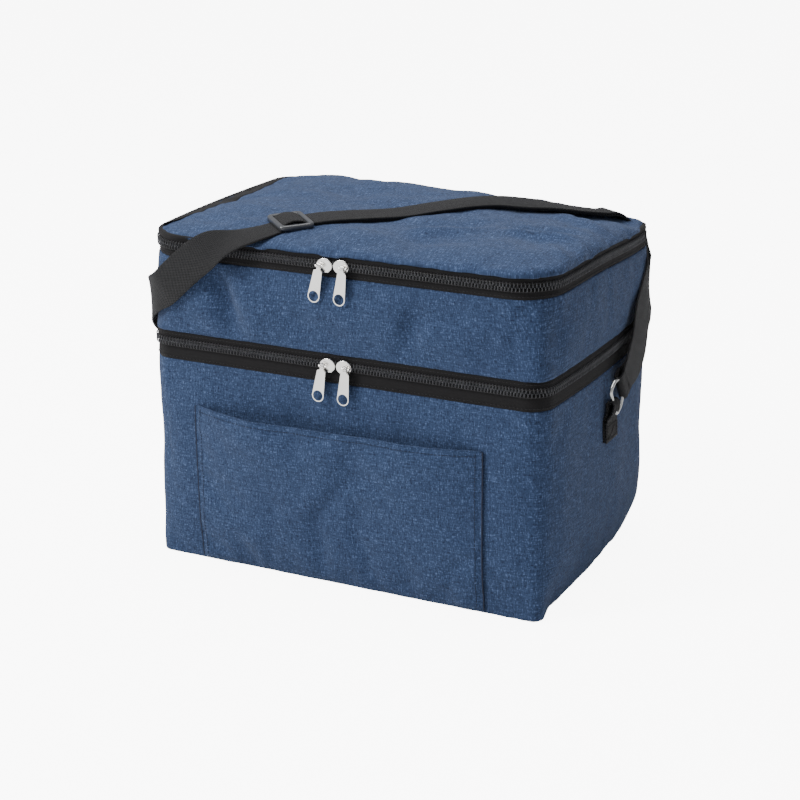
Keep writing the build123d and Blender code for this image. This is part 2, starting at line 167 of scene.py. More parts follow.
# ---------------------------------------------------------------- plan outline
def segments(inset, radius, density=1.0):
    """Plan outline in eight runs: back left corner, left side, front left corner, front,
    front right corner, right side, back right corner, back."""
    w, d = HALF_W - inset, HALF_D - inset
    r, rb = max(radius - inset, 2.0), max(R_BACK - inset, 2.0)
    corner, side, front, back = (
        int(n * density) for n in (CORNER_STEPS, SIDE_STEPS, FRONT_STEPS, BACK_STEPS))

    def arc(cx, cy, start, radius):
        t = np.radians(np.linspace(start, start + 90, corner, endpoint=False))
        return np.stack([cx + radius * np.cos(t), cy + radius * np.sin(t)], 1)

    def line(p, q, count):
        t = np.linspace(0, 1, count, endpoint=False)[:, None]
        return np.array(p) * (1 - t) + np.array(q) * t

    runs = [arc(-w + rb, d - rb, 90, rb), line((-w, d - rb), (-w, -d + r), side),
            arc(-w + r, -d + r, 180, r), line((-w + r, -d), (w - r, -d), front),
            arc(w - r, -d + r, 270, r), line((w, -d + r), (w, d - rb), side),
            arc(w - rb, d - rb, 0, rb), line((w - rb, d), (-w + rb, d), back)]
    for index, run in enumerate(runs):
        near = rb if index in (0, 6, 7) else r
        share = smooth((np.abs(run[:, 0]) - (w - near)) / near)
        run[:, 0] += np.sign(run[:, 0]) * BOW * np.clip(1 - (run[:, 1] / d) ** 2, 0, 1) * share
    return runs


def with_normals(path, closed):
    if closed:
        tangent = np.roll(path, -1, 0) - np.roll(path, 1, 0)
    else:
        tangent = np.gradient(path, axis=0)
    tangent = unit(tangent)
    return path, np.stack([tangent[:, 1], -tangent[:, 0]], 1)


def whole_path(inset, radius, density=1.0):
    return with_normals(np.concatenate(segments(inset, radius, density)), True)


def front_path(inset, radius, density=1.0):
    """Down the left side, across the front and up the right side."""
    runs = segments(inset, radius, density)
    return with_normals(np.concatenate(runs[1:6] + [runs[6][:1]]), False)


def back_path(inset, radius, density=1.0):
    """Back right corner, back and back left corner."""
    runs = segments(inset, radius, density)
    return with_normals(np.concatenate([runs[6], runs[7], runs[0], runs[1][:1]]), False)


# ---------------------------------------------------------------- mesh building
# objects with these name starts aren't lowered by sag()
NO_SAG = ("sim_", "strap", "adjuster", "side_tab", "floor")


def sag(x, y, z):
    """How far the upper rim and lid drop towards the back right corner."""
    return 7.0 * smooth((x - 60) / 112) * smooth((y + 30) / 138) * smooth((z - 203) / 60)


def new_object(name, verts, faces, material=None, uv=None):
    verts = np.array(verts, float)
    if not name.startswith(NO_SAG):
        verts[:, 2] -= sag(verts[:, 0], verts[:, 1], verts[:, 2])
    mesh = bpy.data.meshes.new(name)
    mesh.from_pydata([tuple(v) for v in verts * MM], [],
                     [tuple(int(i) for i in face) for face in faces])
    if uv is not None:
        layer = mesh.uv_layers.new(name="UVMap")
        index = np.zeros(len(mesh.loops), np.int32)
        mesh.loops.foreach_get("vertex_index", index)
        layer.data.foreach_set("uv", (np.asarray(uv) * MM).astype(np.float32)[index].ravel())
    mesh.update()
    mesh.polygons.foreach_set("use_smooth", [True] * len(mesh.polygons))
    if material:
        mesh.materials.append(material)
    ob = bpy.data.objects.new(name, mesh)
    scene.collection.objects.link(ob)
    return ob


def register(ob, body, slot, *replaced):
    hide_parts(*replaced)
    if body:
        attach(ob, body)


def clean(ob, merge=True, normals=True, cap=None):
    """Merges doubled points, fills open edges ("all", or those round the "middle") and
    turns the faces outwards."""
    bm = bmesh.new()
    bm.from_mesh(ob.data)
    if merge:
        bmesh.ops.remove_doubles(bm, verts=bm.verts, dist=1e-6)
    if cap:
        edges = [e for e in bm.edges if e.is_boundary and (cap == "all" or all(
            abs(v.co.y) < 0.014 and abs(v.co.x) < 0.085 for v in e.verts))]
        bmesh.ops.holes_fill(bm, edges=edges, sides=0)
    if normals:
        bmesh.ops.recalc_face_normals(bm, faces=bm.faces)
    bm.to_mesh(ob.data)
    bm.free()
    if normals:
        ob.data.polygons.foreach_set("use_smooth", [True] * len(ob.data.polygons))


def grid_faces(rows, cols, closed=False):
    i, j = np.meshgrid(np.arange(rows - 1), np.arange(cols if closed else cols - 1),
                       indexing="ij")
    i, j = i.ravel(), j.ravel()
    j2 = (j + 1) % cols
    return np.stack([i * cols + j, i * cols + j2, (i + 1) * cols + j2, (i + 1) * cols + j], 1)


def capped_faces(rows, cols):
    """Faces of a closed tube of rings, with its two ends."""
    ends = [tuple(range(cols))[::-1], tuple((rows - 1) * cols + k for k in range(cols))]
    return [tuple(f) for f in grid_faces(rows, cols, True)] + ends


def grid_object(name, points, uv, material, closed=False, thick=0.0):
    """Object from rows x columns of points. A closed grid gets a UV seam."""
    if closed:
        seam_gap = 3.0
        points = np.concatenate([points, points[:, :1]], 1)
        jump = np.array([uv[0, -1, 0] - uv[0, 0, 0] + seam_gap, 0])
        uv = np.concatenate([uv, uv[:, :1] + jump], 1)
    rows, cols = points.shape[:2]
    ob = new_object(name, points.reshape(-1, 3), grid_faces(rows, cols), material,
                    uv.reshape(-1, 2))
    if closed:
        clean(ob, normals=False)
    if thick:
        solidify = ob.modifiers.new("thick", "SOLIDIFY")
        solidify.thickness = thick * MM
        solidify.offset = -1.0
        solidify.use_even_offset = False
    return ob


def apply_modifiers(ob):
    graph = bpy.context.evaluated_depsgraph_get()
    graph.update()
    mesh = bpy.data.meshes.new_from_object(ob.evaluated_get(graph),
                                           preserve_all_data_layers=True, depsgraph=graph)
    ob.modifiers.clear()
    ob.data = mesh


def join(name, parts, material):
    """One object from (verts, faces) parts, with an empty UV map."""
    verts, faces, start = [], [], 0
    for part_verts, part_faces in parts:
        verts.append(np.asarray(part_verts, float))
        faces += [tuple(int(i) + start for i in face) for face in part_faces]
        start += len(part_verts)
    return new_object(name, np.concatenate(verts), faces, material, np.zeros((start, 2)))


def tube(path, radius, sides):
    """Round rod along a path, as (verts, faces)."""
    path = np.asarray(path, float)
    count = len(path)
    tangent = unit(np.gradient(path, axis=0))
    normal = np.cross(tangent[0], (0, 0, 1))
    if np.linalg.norm(normal) < 1e-3:
        normal = np.cross(tangent[0], (1, 0.1, 0))
    radii = np.broadcast_to(np.asarray(radius, float), (count,))
    angle = np.linspace(0, 2 * math.pi, sides, endpoint=False)[:, None]
    verts = []
    for i in range(count):
        normal = unit(normal - tangent[i] * (normal @ tangent[i]))
        binormal = np.cross(tangent[i], normal)
        verts.append(path[i] + radii[i] * (np.cos(angle) * normal + np.sin(angle) * binormal))
    return np.concatenate(verts), capped_faces(count, sides)


# ---------------------------------------------------------------- shader tools
class Shader:
    """Adds and wires nodes in a node tree."""

    def __init__(self, tree):
        self.tree = tree

    def add(self, kind, **settings):
        node = self.tree.nodes.new(kind)
        for key, value in settings.items():
            setattr(node, key, value)
        return node

    def put(self, socket, value):
        """Links a socket's value, or sets a plain one."""
        if hasattr(value, "is_output"):
            self.tree.links.new(value, socket)
        else:
            socket.default_value = value

    def math(self, operation, a, b=0.0):
        node = self.add("ShaderNodeMath", operation=operation)
        self.put(node.inputs[0], a)
        self.put(node.inputs[1], b)
        return node.outputs[0]

    def wave(self, coordinate, period):
        return self.math("SINE", self.math("MULTIPLY", coordinate, 2 * math.pi / period))

    def mix(self, factor, a, b):
        node = self.add("ShaderNodeMix", data_type="RGBA")
        for index, value in ((0, factor), (6, a), (7, b)):
            self.put(node.inputs[index], value)
        return node.outputs[2]

    def mapping(self, vector, scale, offset=(0, 0, 0)):
        node = self.add("ShaderNodeMapping")
        self.put(node.inputs[0], vector)
        node.inputs[3].default_value = scale
        node.inputs[1].default_value = offset
        return node.outputs[0]

    def noise(self, vector, scale, detail=2.0, roughness=0.5, distortion=0.0):
        node = self.add("ShaderNodeTexNoise")
        for key, value in (("Vector", vector), ("Scale", scale), ("Detail", detail),
                           ("Roughness", roughness), ("Distortion", distortion)):
            self.put(node.inputs[key], value)
        return node.outputs[0]

    def ramp(self, factor, stops):
        node = self.add("ShaderNodeValToRGB")
        elements = node.color_ramp.elements
        while len(elements) < len(stops):
            elements.new(0.5)
        for element, (position, colour) in zip(elements, stops):
            element.position = position
            element.color = colour
        self.put(node.inputs[0], factor)
        return node.outputs[0]

    def map_range(self, value, low, high, to_low=0.0, to_high=1.0):
        node = self.add("ShaderNodeMapRange")
        for index, item in enumerate((value, low, high, to_low, to_high)):
            self.put(node.inputs[index], item)
        return node.outputs[0]

    def separate(self, vector):
        node = self.add("ShaderNodeSeparateXYZ")
        self.put(node.inputs[0], vector)
        return node.outputs[0], node.outputs[1]

    def coordinates(self, kind):
        return self.add("ShaderNodeTexCoord").outputs[kind]

    def bump(self, bsdf, height, strength, distance):
        node = self.add("ShaderNodeBump")
        node.inputs["Strength"].default_value = strength
        node.inputs["Distance"].default_value = distance
        self.put(node.inputs["Height"], height)
        self.put(bsdf.inputs["Normal"], node.outputs[0])

    def surface(self, bsdf, values):
        for key, value in values.items():
            self.put(bsdf.inputs[key], value)


def new_material(name):
    material = bpy.data.materials.new(name)
    material.use_nodes = True
    tree = material.node_tree
    tree.nodes.clear()
    output = tree.nodes.new("ShaderNodeOutputMaterial")
    bsdf = tree.nodes.new("ShaderNodeBsdfPrincipled")
    tree.links.new(bsdf.outputs[0], output.inputs[0])
    return material, Shader(tree), bsdf


def srgb(*channels):
    """8-bit sRGB to linear RGBA."""
    linear = [c / 255 / 12.92 if c / 255 <= 0.04045 else ((c / 255 + 0.055) / 1.055) ** 2.4
              for c in channels]
    return (*linear, 1)


# ---------------------------------------------------------------- materials
def fabric_material(name, dark, mid, light):
    """Two-tone heathered cloth: upright yarns that change tone every few millimetres,
    crossed by fainter level ones, under a plain weave relief."""
    material, sh, bsdf = new_material(name)
    uv = sh.coordinates("UV")
    # mapping scale, mapping offset, detail, roughness, share of the tone
    yarns = [((1500, 380, 1), (0, 0, 0), 2.0, 0.6, 0.40),    # upright, fine
             ((700, 90, 1), (5, 3, 0), 1.0, 0.5, 0.17),      # upright, long
             ((380, 1500, 1), (9, 7, 0), 2.0, 0.6, 0.28),    # level, fine
             ((90, 700, 1), (2, 11, 0), 1.0, 0.5, 0.15)]     # level, long
    layers = [(sh.noise(sh.mapping(uv, scale, offset), 1.0, detail, rough), share)
              for scale, offset, detail, rough, share in yarns]

    def pair(first, second):
        return sh.math("ADD", sh.math("MULTIPLY", *first), sh.math("MULTIPLY", *second))

    tone = sh.math("ADD", pair(layers[0], layers[1]), pair(layers[2], layers[3]))
    colour = sh.ramp(tone, [(0.395, dark), (0.485, mid), (0.52, mid), (0.625, light)])
    # broad uneven patches, a little darker
    cloud = sh.noise(sh.mapping(uv, (16, 16, 1)), scale=1.0, detail=3.0, roughness=0.55)
    patch = (mid[0] * 0.6, mid[1] * 0.6, mid[2] * 0.68, 1)
    colour = sh.mix(sh.map_range(cloud, 0.35, 0.75, to_high=0.20), colour, patch)
    sh.surface(bsdf, {"Base Color": colour, "Roughness": 0.85, "Specular IOR Level": 0.2,
                      "Sheen Weight": 0.10, "Sheen Roughness": 0.5,
                      "Sheen Tint": (0.85, 0.88, 1.0, 1)})
    u, v = sh.separate(uv)
    thread = 0.00062
    weave = sh.math("MULTIPLY", sh.wave(u, thread), sh.wave(v, thread))
    height = pair((weave, 0.35), (tone, 1.1))
    sh.bump(bsdf, height, strength=0.45, distance=0.0004)
    return material


def webbing_material(name, dark, light):
    """Ribbed webbing. u runs along the strap, v across."""
    material, sh, bsdf = new_material(name)
    uv = sh.coordinates("UV")
    u, v = sh.separate(uv)
    rib, row_pair = 0.0023, 0.0017
    row = sh.math("FLOOR", sh.math("DIVIDE", v, row_pair / 2))
    # every other row is half a rib out of step
    phase = sh.math("MULTIPLY", sh.math("MODULO", sh.math("ABSOLUTE", row), 2.0), math.pi)
    along = sh.math("MULTIPLY", u, 2 * math.pi / rib)
    ribs = sh.math("SINE", sh.math("ADD", along, phase))
    rows = sh.math("ABSOLUTE", sh.wave(v, row_pair))
    height = sh.math("MULTIPLY", sh.math("ADD", ribs, 1.0), rows)
    fine = sh.noise(sh.mapping(uv, (2600, 5200, 1)), scale=1.0)
    height = sh.math("ADD", height, sh.math("MULTIPLY", fine, 0.7))
    # The colour follows the relief height: painted shade darkens the rib troughs and a painted
    # highlight lightens the crests, with some random yarn tone from the fine noise.
    colour = sh.mix(sh.map_range(height, 0.2, 2.2), dark, light)
    sh.surface(bsdf, {"Base Color": colour, "Roughness": 0.62, "Specular IOR Level": 0.35,
                      "Sheen Weight": 0.05})
    sh.bump(bsdf, height, strength=1.0, distance=0.0007)
    return material


def tape_material(name, dark, light):
    """Woven zip tape with a fine herringbone."""
    material, sh, bsdf = new_material(name)
    uv = sh.coordinates("UV")
    u, v = sh.separate(uv)
    yarn, band_width, slant = 0.0011, 0.0024, 9.0
    bands = sh.math("ABSOLUTE", sh.math("DIVIDE", v, band_width))
    zigzag = sh.math("ABSOLUTE", sh.math("SUBTRACT", sh.math("MODULO", bands, 1.0), 0.5))
    along = sh.math("MULTIPLY", u, 2 * math.pi / yarn)
    twill = sh.math("SINE", sh.math("ADD", along, sh.math("MULTIPLY", zigzag, slant)))
    fine = sh.noise(sh.mapping(uv, (3000, 3000, 1)), scale=1.0)
    height = sh.math("ADD", sh.math("MULTIPLY", twill, 0.5), fine)
    # The colour follows the relief height: painted shade in the twill's hollows and a painted
    # highlight on its raised yarns, with some random yarn tone from the fine noise.
    colour = sh.mix(sh.map_range(height, -0.2, 1.3), dark, light)
    sh.surface(bsdf, {"Base Color": colour, "Roughness": 0.85, "Specular IOR Level": 0.2,
                      "Sheen Weight": 0.06})
    sh.bump(bsdf, height, strength=0.5, distance=0.0003)
    return material


def plain_material(name, base, rough, metal=0.0, specular=0.5, grain=900.0, variation=0.12,
                   relief=0.05, coat=0.0, depth=0.0002):
    """Even surface with fine variation in colour, roughness and relief."""
    material, sh, bsdf = new_material(name)
    position = sh.coordinates("Object")
    fine = sh.noise(position, grain, detail=3.0)
    broad = sh.noise(position, grain * 0.07, detail=3.0)
    dark = (*(c * (1 - variation) for c in base[:3]), 1)
    light = (*(min(1, c * (1 + variation)) for c in base[:3]), 1)
    sh.surface(bsdf, {
        "Base Color": sh.mix(sh.map_range(broad, 0.3, 0.7), dark, light),
        "Roughness": sh.map_range(fine, 0.2, 0.8, max(0.02, rough - 0.07), rough + 0.09),
        "Metallic": metal, "Specular IOR Level": specular, "Coat Weight": coat})
    sh.bump(bsdf, fine, strength=relief, distance=depth)
    return material


def foil_material(name):
    """Creased metal film."""
    material, sh, bsdf = new_material(name)
    position = sh.coordinates("Object")
    creases = sh.add("ShaderNodeTexVoronoi", feature="DISTANCE_TO_EDGE")
    sh.put(creases.inputs["Vector"], position)
    creases.inputs["Scale"].default_value = 60
    fine = sh.noise(position, scale=150, detail=4.0, roughness=0.6, distortion=0.6)
    height = sh.math("ADD", sh.math("MULTIPLY", creases.outputs[0], 1.6), fine)
    colour = sh.mix(sh.map_range(fine, 0.3, 0.7), (0.55, 0.56, 0.58, 1), (0.80, 0.81, 0.83, 1))
    sh.surface(bsdf, {"Base Color": colour, "Metallic": 0.85,
                      "Roughness": sh.map_range(fine, 0.2, 0.8, 0.22, 0.42)})
    sh.bump(bsdf, height, strength=0.6, distance=0.0012)
    return material


FABRIC = fabric_material("melange_blue", dark=srgb(24, 36, 60), mid=srgb(48, 66, 97),
                         light=srgb(94, 115, 155))
TAPE = tape_material("zip_tape_black", dark=srgb(16, 15, 16), light=srgb(33, 32, 33))
COIL = plain_material("coil_nylon", srgb(62, 63, 67), rough=0.32, specular=0.8, grain=1500,
                      variation=0.25)
WEBBING = webbing_material("webbing_black", dark=srgb(6, 6, 7), light=srgb(40, 40, 43))
NICKEL = plain_material("nickel_bright", srgb(247, 245, 241), rough=0.16, metal=1.0, grain=700,
                        variation=0.05, relief=0.06)
RING_METAL = plain_material("ring_nickel", srgb(200, 200, 198), rough=0.22, metal=1.0,
                            grain=700, variation=0.08, relief=0.06)
BUCKLE = plain_material("buckle_plastic", srgb(62, 64, 68), rough=0.30, specular=0.6,
                        grain=1400, variation=0.15, relief=0.10, coat=0.2)
THREAD = plain_material("thread_black", srgb(30, 29, 30), rough=0.7, grain=3000,
                        variation=0.3, relief=0.3)
NAVY_THREAD = plain_material("thread_navy", srgb(22, 32, 56), rough=0.7, grain=3000,
                             variation=0.3, relief=0.3)
FOAM = plain_material("foam_white", srgb(226, 226, 222), rough=0.85, specular=0.2, grain=500,
                      variation=0.06, relief=0.5, depth=0.0006)
BOARD = plain_material("board_grey", srgb(150, 150, 146), rough=0.6, specular=0.3, grain=300,
                       variation=0.08, relief=0.2)
FOIL = foil_material("foil_lining")

# the first word found in a CAD piece's name decides its material
CAD_MATERIALS = [("foam", FOAM), ("board", BOARD), ("slider", NICKEL), ("pull", NICKEL),
                 ("strap_ring", RING_METAL), ("adjuster", BUCKLE)]
for node_name in nodes:
    materials = nodes[node_name].data.materials
    materials.clear()
    materials.append(next((m for word, m in CAD_MATERIALS if word in node_name), FABRIC))


# ---------------------------------------------------------------- how the soft walls lie
def foot_lift(x, y, z):
    """The base rises off the floor along its right edge, most at the back right corner."""
    rise = np.interp(y, [-111, -88, -10, 72, 111], [0, 3.0, 6.5, 10.0, 19.0])
    return smooth((x - (HALF_W - 48)) / 44) * rise * np.exp(-np.maximum(z, 0) / 34.0)


def foot_tuck(x, y, z):
    """How far the right wall turns in under the bag at its foot."""
    depth = np.interp(y, [-111, -84, 60, 111], [0, 6.0, 7.0, 9.0])
    fall = np.exp(-(np.maximum(z, 0) / 22.0) ** 1.3)
    return smooth((x - (HALF_W - 14)) / 10) * depth * fall


def wall_terms(outline, z, bottom, top, power):
    """Swell at this height (0 at both edges), weight of the side walls, closeness to the
    middle of the front and of the sides, and a coordinate that runs round the wall."""
    x, y = outline.T
    t = np.clip((z - bottom) / (top - bottom), 0, 1)
    swell = np.sin(math.pi * t) ** power if 0 < t < 1 else 0.0
    side = smooth((np.abs(x) - (HALF_W - 26)) / 24)
    mid_x = np.clip(1 - (x / (HALF_W - 6)) ** 2, 0, 1)
    mid_y = np.clip(1 - (y / (HALF_D - 6)) ** 2, 0, 1)
    around = np.where(side > 0.5, y * np.sign(x) + 400, x * np.sign(-y))
    return swell, side, mid_x, mid_y, around


# creases in the walls: height, centre along the wall, centre z, spreads, turn in degrees
RIGHT_CREASES = [(-1.6, -40, 130, 14, 34, -24), (1.2, 20, 96, 12, 30, 8),
                 (-1.0, 60, 70, 16, 40, 12)]
FRONT_CREASES = [(-8.0, -99, 221, 7, 24, 20), (2.6, -79, 226, 10, 26, 16),
                 (2.8, -122, 226, 10, 24, 20), (-4.6, 66, 228, 8, 20, -14),
                 (1.4, 46, 228, 11, 22, -10), (-3.0, 96, 240, 26, 8, 12),
                 (-2.6, -20, 214, 34, 10, -8), (0.9, 84, 222, 30, 10, 6),
                 (-1.5, 132, 214, 24, 8, -20)]


def lower_push(outline, z):
    """How far the lower wall stands out of the plan outline at height z."""
    x, y = outline.T
    swell, side, mid_x, mid_y, around = wall_terms(outline, z, 0.0, LOW_TOP, 0.8)
    push = swell * (1.6 * mid_x * (1 - side) + 2.6 * mid_y * side)
    push = push + swell * (0.9 * fbm(around / 70, z / 60, 3) + 0.35 * fbm(around / 22, z / 26, 5))
    # slack running down from the strap tab
    on_right = (x > 0) & (side > 0.5)
    push = push + np.where(on_right, swell * bumps(y, z, RIGHT_CREASES), 0)
    # puckers along the sewn edges
    near_seam = math.exp(-z / 8.0) + math.exp(-(LOW_TOP - z) / 7.0)
    push = push + near_seam * 0.5 * fbm(around / 11, 1.3 + (z > 80), 9, 2)
    return push - foot_tuck(x, y, z)


def upper_push(outline, z):
    """How far the upper wall stands out of the plan outline at height z."""
    x, y = outline.T
    swell, side, mid_x, mid_y, around = wall_terms(outline, z, UP_BOT, UP_TOP, 0.7)
    push = swell * (2.2 * mid_x ** 0.6 * (1 - side) + 2.4 * mid_y * side)
    push = push + swell * (1.1 * fbm(around / 60, z / 50, 13)
                           + 0.45 * fbm(around / 20, z / 24, 15))
    on_front = (y < 0) & (side < 0.5)
    push = push + np.where(on_front, bumps(x, z, FRONT_CREASES), 0) * swell
    # the front right corner is creased and drawn to a point over the main zip
    at_corner = (x > HALF_W - 40) & (y < -HALF_D + 40)
    away = np.hypot(x - (HALF_W - 7), y + (HALF_D - 7))
    crease = 2.6 * np.exp(-(away / 6.5) ** 2) - 1.9 * np.exp(-((away - 17) / 7.0) ** 2)
    point = math.exp(-((z - 199.5) / 7.0) ** 2) * 2.2 * np.exp(-(away / 8.0) ** 2)
    push = push + np.where(at_corner, swell * crease + point, 0)
    near_seam = math.exp(-(z - UP_BOT) / 7.0) + math.exp(-(UP_TOP - z) / 7.0)
    return push + near_seam * 0.55 * fbm(around / 10, 2.3 + (z > 230), 19, 2)


def low_radius(z):
    return R_FOOT + (R_LOW - R_FOOT) * min(max(z / LOW_TOP, 0), 1)


def up_radius(z):
    return R_LOW + (R_TOP - R_LOW) * min(max((z - UP_BOT) / (UP_TOP - UP_BOT), 0), 1)


# ---------------------------------------------------------------- cloth
CLOTH_FRAMES = 16
CLOTH_SETTINGS = dict(
    quality=5, mass=0.25, vertex_group_mass="pin",
    tension_stiffness=18, compression_stiffness=18, shear_stiffness=8,
    tension_damping=8, compression_damping=8, shear_damping=8, air_damping=2.0,
    use_pressure=True)
SLOW_SHARE = 0.75                           # share of the overall growth taken off again


def relax(field, closed):
    """One smoothing pass down the rows and along the columns."""
    field = field.copy()
    field[1:-1] = 0.5 * field[1:-1] + 0.25 * (field[:-2] + field[2:])
    if closed:
        return 0.5 * field + 0.25 * (np.roll(field, 1, 1) + np.roll(field, -1, 1))
    field[:, 1:-1] = 0.5 * field[:, 1:-1] + 0.25 * (field[:, :-2] + field[:, 2:])
    return field


def cloth(name, sheet, closed, pin, pressure, grow, cap, bend):
    """Blows a sewn sheet (rows x columns x 3) out between its pinned seams and gives back
    how far each point moved, up to the cap."""
    rows, cols = sheet.shape[:2]
    ob = new_object("sim_" + name, sheet.reshape(-1, 3), grid_faces(rows, cols, closed))
    group = ob.vertex_groups.new(name="pin")
    weights = np.round(pin.reshape(-1), 2)
    for level in np.unique(weights):
        if level > 0:
            group.add([int(i) for i in np.nonzero(weights == level)[0]], float(level), "REPLACE")
    modifier = ob.modifiers.new("cloth", "CLOTH")
    settings = modifier.settings
    for key, value in CLOTH_SETTINGS.items():
        setattr(settings, key, value)
    settings.bending_stiffness = bend
    settings.uniform_pressure_force = pressure
    settings.shrink_min = -grow
    settings.effector_weights.gravity = 0
    modifier.collision_settings.use_collision = False
    modifier.point_cache.frame_start = 1
    modifier.point_cache.frame_end = CLOTH_FRAMES
    first_frame = scene.frame_current
    scene.frame_start = 1
    scene.frame_end = max(scene.frame_end, CLOTH_FRAMES)
    for number in range(1, CLOTH_FRAMES + 1):
        scene.frame_set(number)
    graph = bpy.context.evaluated_depsgraph_get()
    mesh = ob.evaluated_get(graph).to_mesh()
    blown = np.zeros(len(mesh.vertices) * 3, np.float32)
    mesh.vertices.foreach_get("co", blown)
    blown = blown.reshape(rows, cols, 3).astype(float) / MM
    scene.frame_set(first_frame)
    bpy.data.objects.remove(ob, do_unlink=True)
    # keep the relief the cloth made, not its overall growth, and squeeze it under the cap
    move = blown - sheet
    slow = move
    for _ in range(60):
        slow = relax(slow, closed)
    move = move - SLOW_SHARE * slow
    length = np.linalg.norm(move, axis=2, keepdims=True)
    return move * (cap * np.tanh(length / cap) / (length + 1e-9))


def upsample(field, rows, cols, closed):
    """Reads a coarse field at fractional row and column positions, then smooths it."""
    row_count = field.shape[0]
    if closed:
        field = np.concatenate([field, field[:, :1]], 1)
    cols = np.clip(cols, 0, field.shape[1] - 1 - 1e-9)
    col = cols.astype(int)
    part = (cols - col)[None, :, None]
    field = field[:, col] * (1 - part) + field[:, col + 1] * part
    rows = np.clip(rows, 0, row_count - 1 - 1e-9)
    row = rows.astype(int)
    part = (rows - row)[:, None, None]
    field = field[row] * (1 - part) + field[row + 1] * part
    for _ in range(2):
        field = relax(field, closed)
    return field


# ---------------------------------------------------------------- fabric walls
# the turned edge of a wall: distance from the edge, push outwards
TURNED_EDGE = [(5.0, -2.0), (0.6, -1.7), (0.0, -0.9), (0.35, -0.25)]


def wall(name, bottom, top, radius_at, push, body, replaced, lift=False, **blow):
    """Closed fabric wall between two sewn edges, blown out a little by its padding.
    Gives back its rows of points between the turned edges."""
    def skin(z, density=1.0, out=0.0):
        outline, normal = whole_path(0, radius_at(z), density)
        outline = outline + normal * (push(outline, z) + out)[:, None]
        return np.column_stack([outline, np.full(len(outline), z)])

    heights = np.linspace(bottom, top, int(round((top - bottom) / 6.0)) + 1)
    coarse = np.array([skin(z, 0.5) for z in heights])
    pin = np.zeros(coarse.shape[:2])
    pin[[0, -1]] = 1
    pin[[1, -2]] = 0.4
    move = cloth(name, coarse, True, pin, **blow)
    for i, z in enumerate(heights):         # the padding stops the cloth going in
        normal = whole_path(0, radius_at(z), 0.5)[1]
        outward = np.sum(move[i, :, :2] * normal, 1)
        move[i, :, :2] += normal * (-0.65 * np.minimum(outward, 0))[:, None]

    rows = [bottom + 1.2, bottom + 2.6,
            *np.linspace(bottom + 4.5, top - 4.5, int((top - bottom - 9) / 3.4)),
            top - 2.5, top - 1.1]
    profile = ([(bottom + d, out) for d, out in TURNED_EDGE] + [(z, 0.0) for z in rows]
               + [(top - d, out) for d, out in TURNED_EDGE[::-1]])
    u = arclen(whole_path(0, radius_at(bottom))[0])
    row_at = np.array([(z - bottom) / (top - bottom) * (len(heights) - 1) for z, _ in profile])
    relief = upsample(move, row_at, np.arange(len(u)) / 2, True)
    points, uv = [], []
    for i, (z, out) in enumerate(profile):
        row = skin(z, 1.0, out)
        if out > -1.5:
            row = row + relief[i]
        if lift:
            row[:, 2] += foot_lift(row[:, 0], row[:, 1], z)
        points.append(row)
        uv.append(np.stack([u, np.full(len(u), z)], 1))
    points = np.array(points)
    ob = grid_object(name, points, np.array(uv), FABRIC, closed=True, thick=0.7)
    register(ob, body, "melange_fabric", replaced)
    return points[len(TURNED_EDGE):-len(TURNED_EDGE)]


lower_skin = wall("lower_wall_fabric", 0.0, LOW_TOP, low_radius, lower_push, "lower",
                  "lower_shell", lift=True, pressure=3.0, cap=3.2, grow=0.008, bend=2.0)
wall("upper_wall_fabric", UP_BOT, UP_TOP, up_radius, upper_push, "upper", "upper_shell",
     pressure=4.0, cap=3.0, grow=0.014, bend=1.0)


def front_skin(x, z):
    """How far the front of the lower wall stands in front of its sewn plane."""
    reach, step = 158, 2.0
    first = CORNER_STEPS + SIDE_STEPS + CORNER_STEPS
    front = lower_skin[:, first:first + FRONT_STEPS]
    grid_x = np.linspace(-reach, reach, 159)
    table = np.array([np.interp(grid_x, row[:, 0], -HALF_D - row[:, 1]) for row in front])
    row_z = front[:, :, 2].mean(1)
    xi = np.clip((x + reach) / step, 0, 157.999)
    x0 = xi.astype(int)
    fx = xi - x0
    zi = np.interp(z, row_z, np.arange(len(row_z)))
    z0 = np.clip(zi.astype(int), 0, len(row_z) - 2)
    fz = zi - z0
    below = table[z0, x0] * (1 - fx) + table[z0, x0 + 1] * fx
    above = table[z0 + 1, x0] * (1 - fx) + table[z0 + 1, x0 + 1] * fx
    return below * (1 - fz) + above * fz


# ---------------------------------------------------------------- inner layers
def band(name, profile, material, slot, body, replaced, push=None, lift=False,
         closed_profile=False, cap=None, thick=0.0, crinkle=0.0):
    """Sweeps a profile [(inset, z, corner radius)] round the plan outline."""
    points, uv = [], []
    v = 0.0
    for k, (inset, z, radius) in enumerate(profile):
        outline, normal = whole_path(inset, radius, 0.5)
        if k:
            v += math.hypot(inset - profile[k - 1][0], z - profile[k - 1][1])
        if push is not None:                # follow the wall only where it goes in
            inwards = np.minimum(push(outline + normal * inset, z), 0.0)
            outline = outline + normal * inwards[:, None]
        if crinkle:
            wave = fbm(arclen(outline) / 16, v / 14, 61)
            outline = outline + normal * (crinkle * wave)[:, None]
        x, y = outline.T
        height = np.full(len(outline), float(z))
        if crinkle:
            height += 0.5 * crinkle * fbm(x / 17, y / 15, 63)
        if lift:
            height += foot_lift(x, y, z)
        points.append(np.column_stack([outline, height]))
        uv.append(np.stack([arclen(outline), np.full(len(outline), v)], 1))
    if closed_profile:
        points.append(points[0])
        uv.append(uv[0])
    ob = grid_object(name, np.array(points), np.array(uv), material, closed=True, thick=thick)
    clean(ob, cap=cap)
    register(ob, body, slot, replaced)


def foam_wall(name, bottom, height, rows, inner, radius_at, push, body, replaced, lift=False):
    """Foam inside a wall, from an inset of 2.9 to the inner inset."""
    heights = bottom + height * np.linspace(0, 1, rows)
    profile = ([(2.9, z, radius_at(z)) for z in heights]
               + [(inner, z, radius_at(z)) for z in heights[::-1]])
    band(name, profile, FOAM, "foam", body, replaced, push=push, lift=lift,
         closed_profile=True)


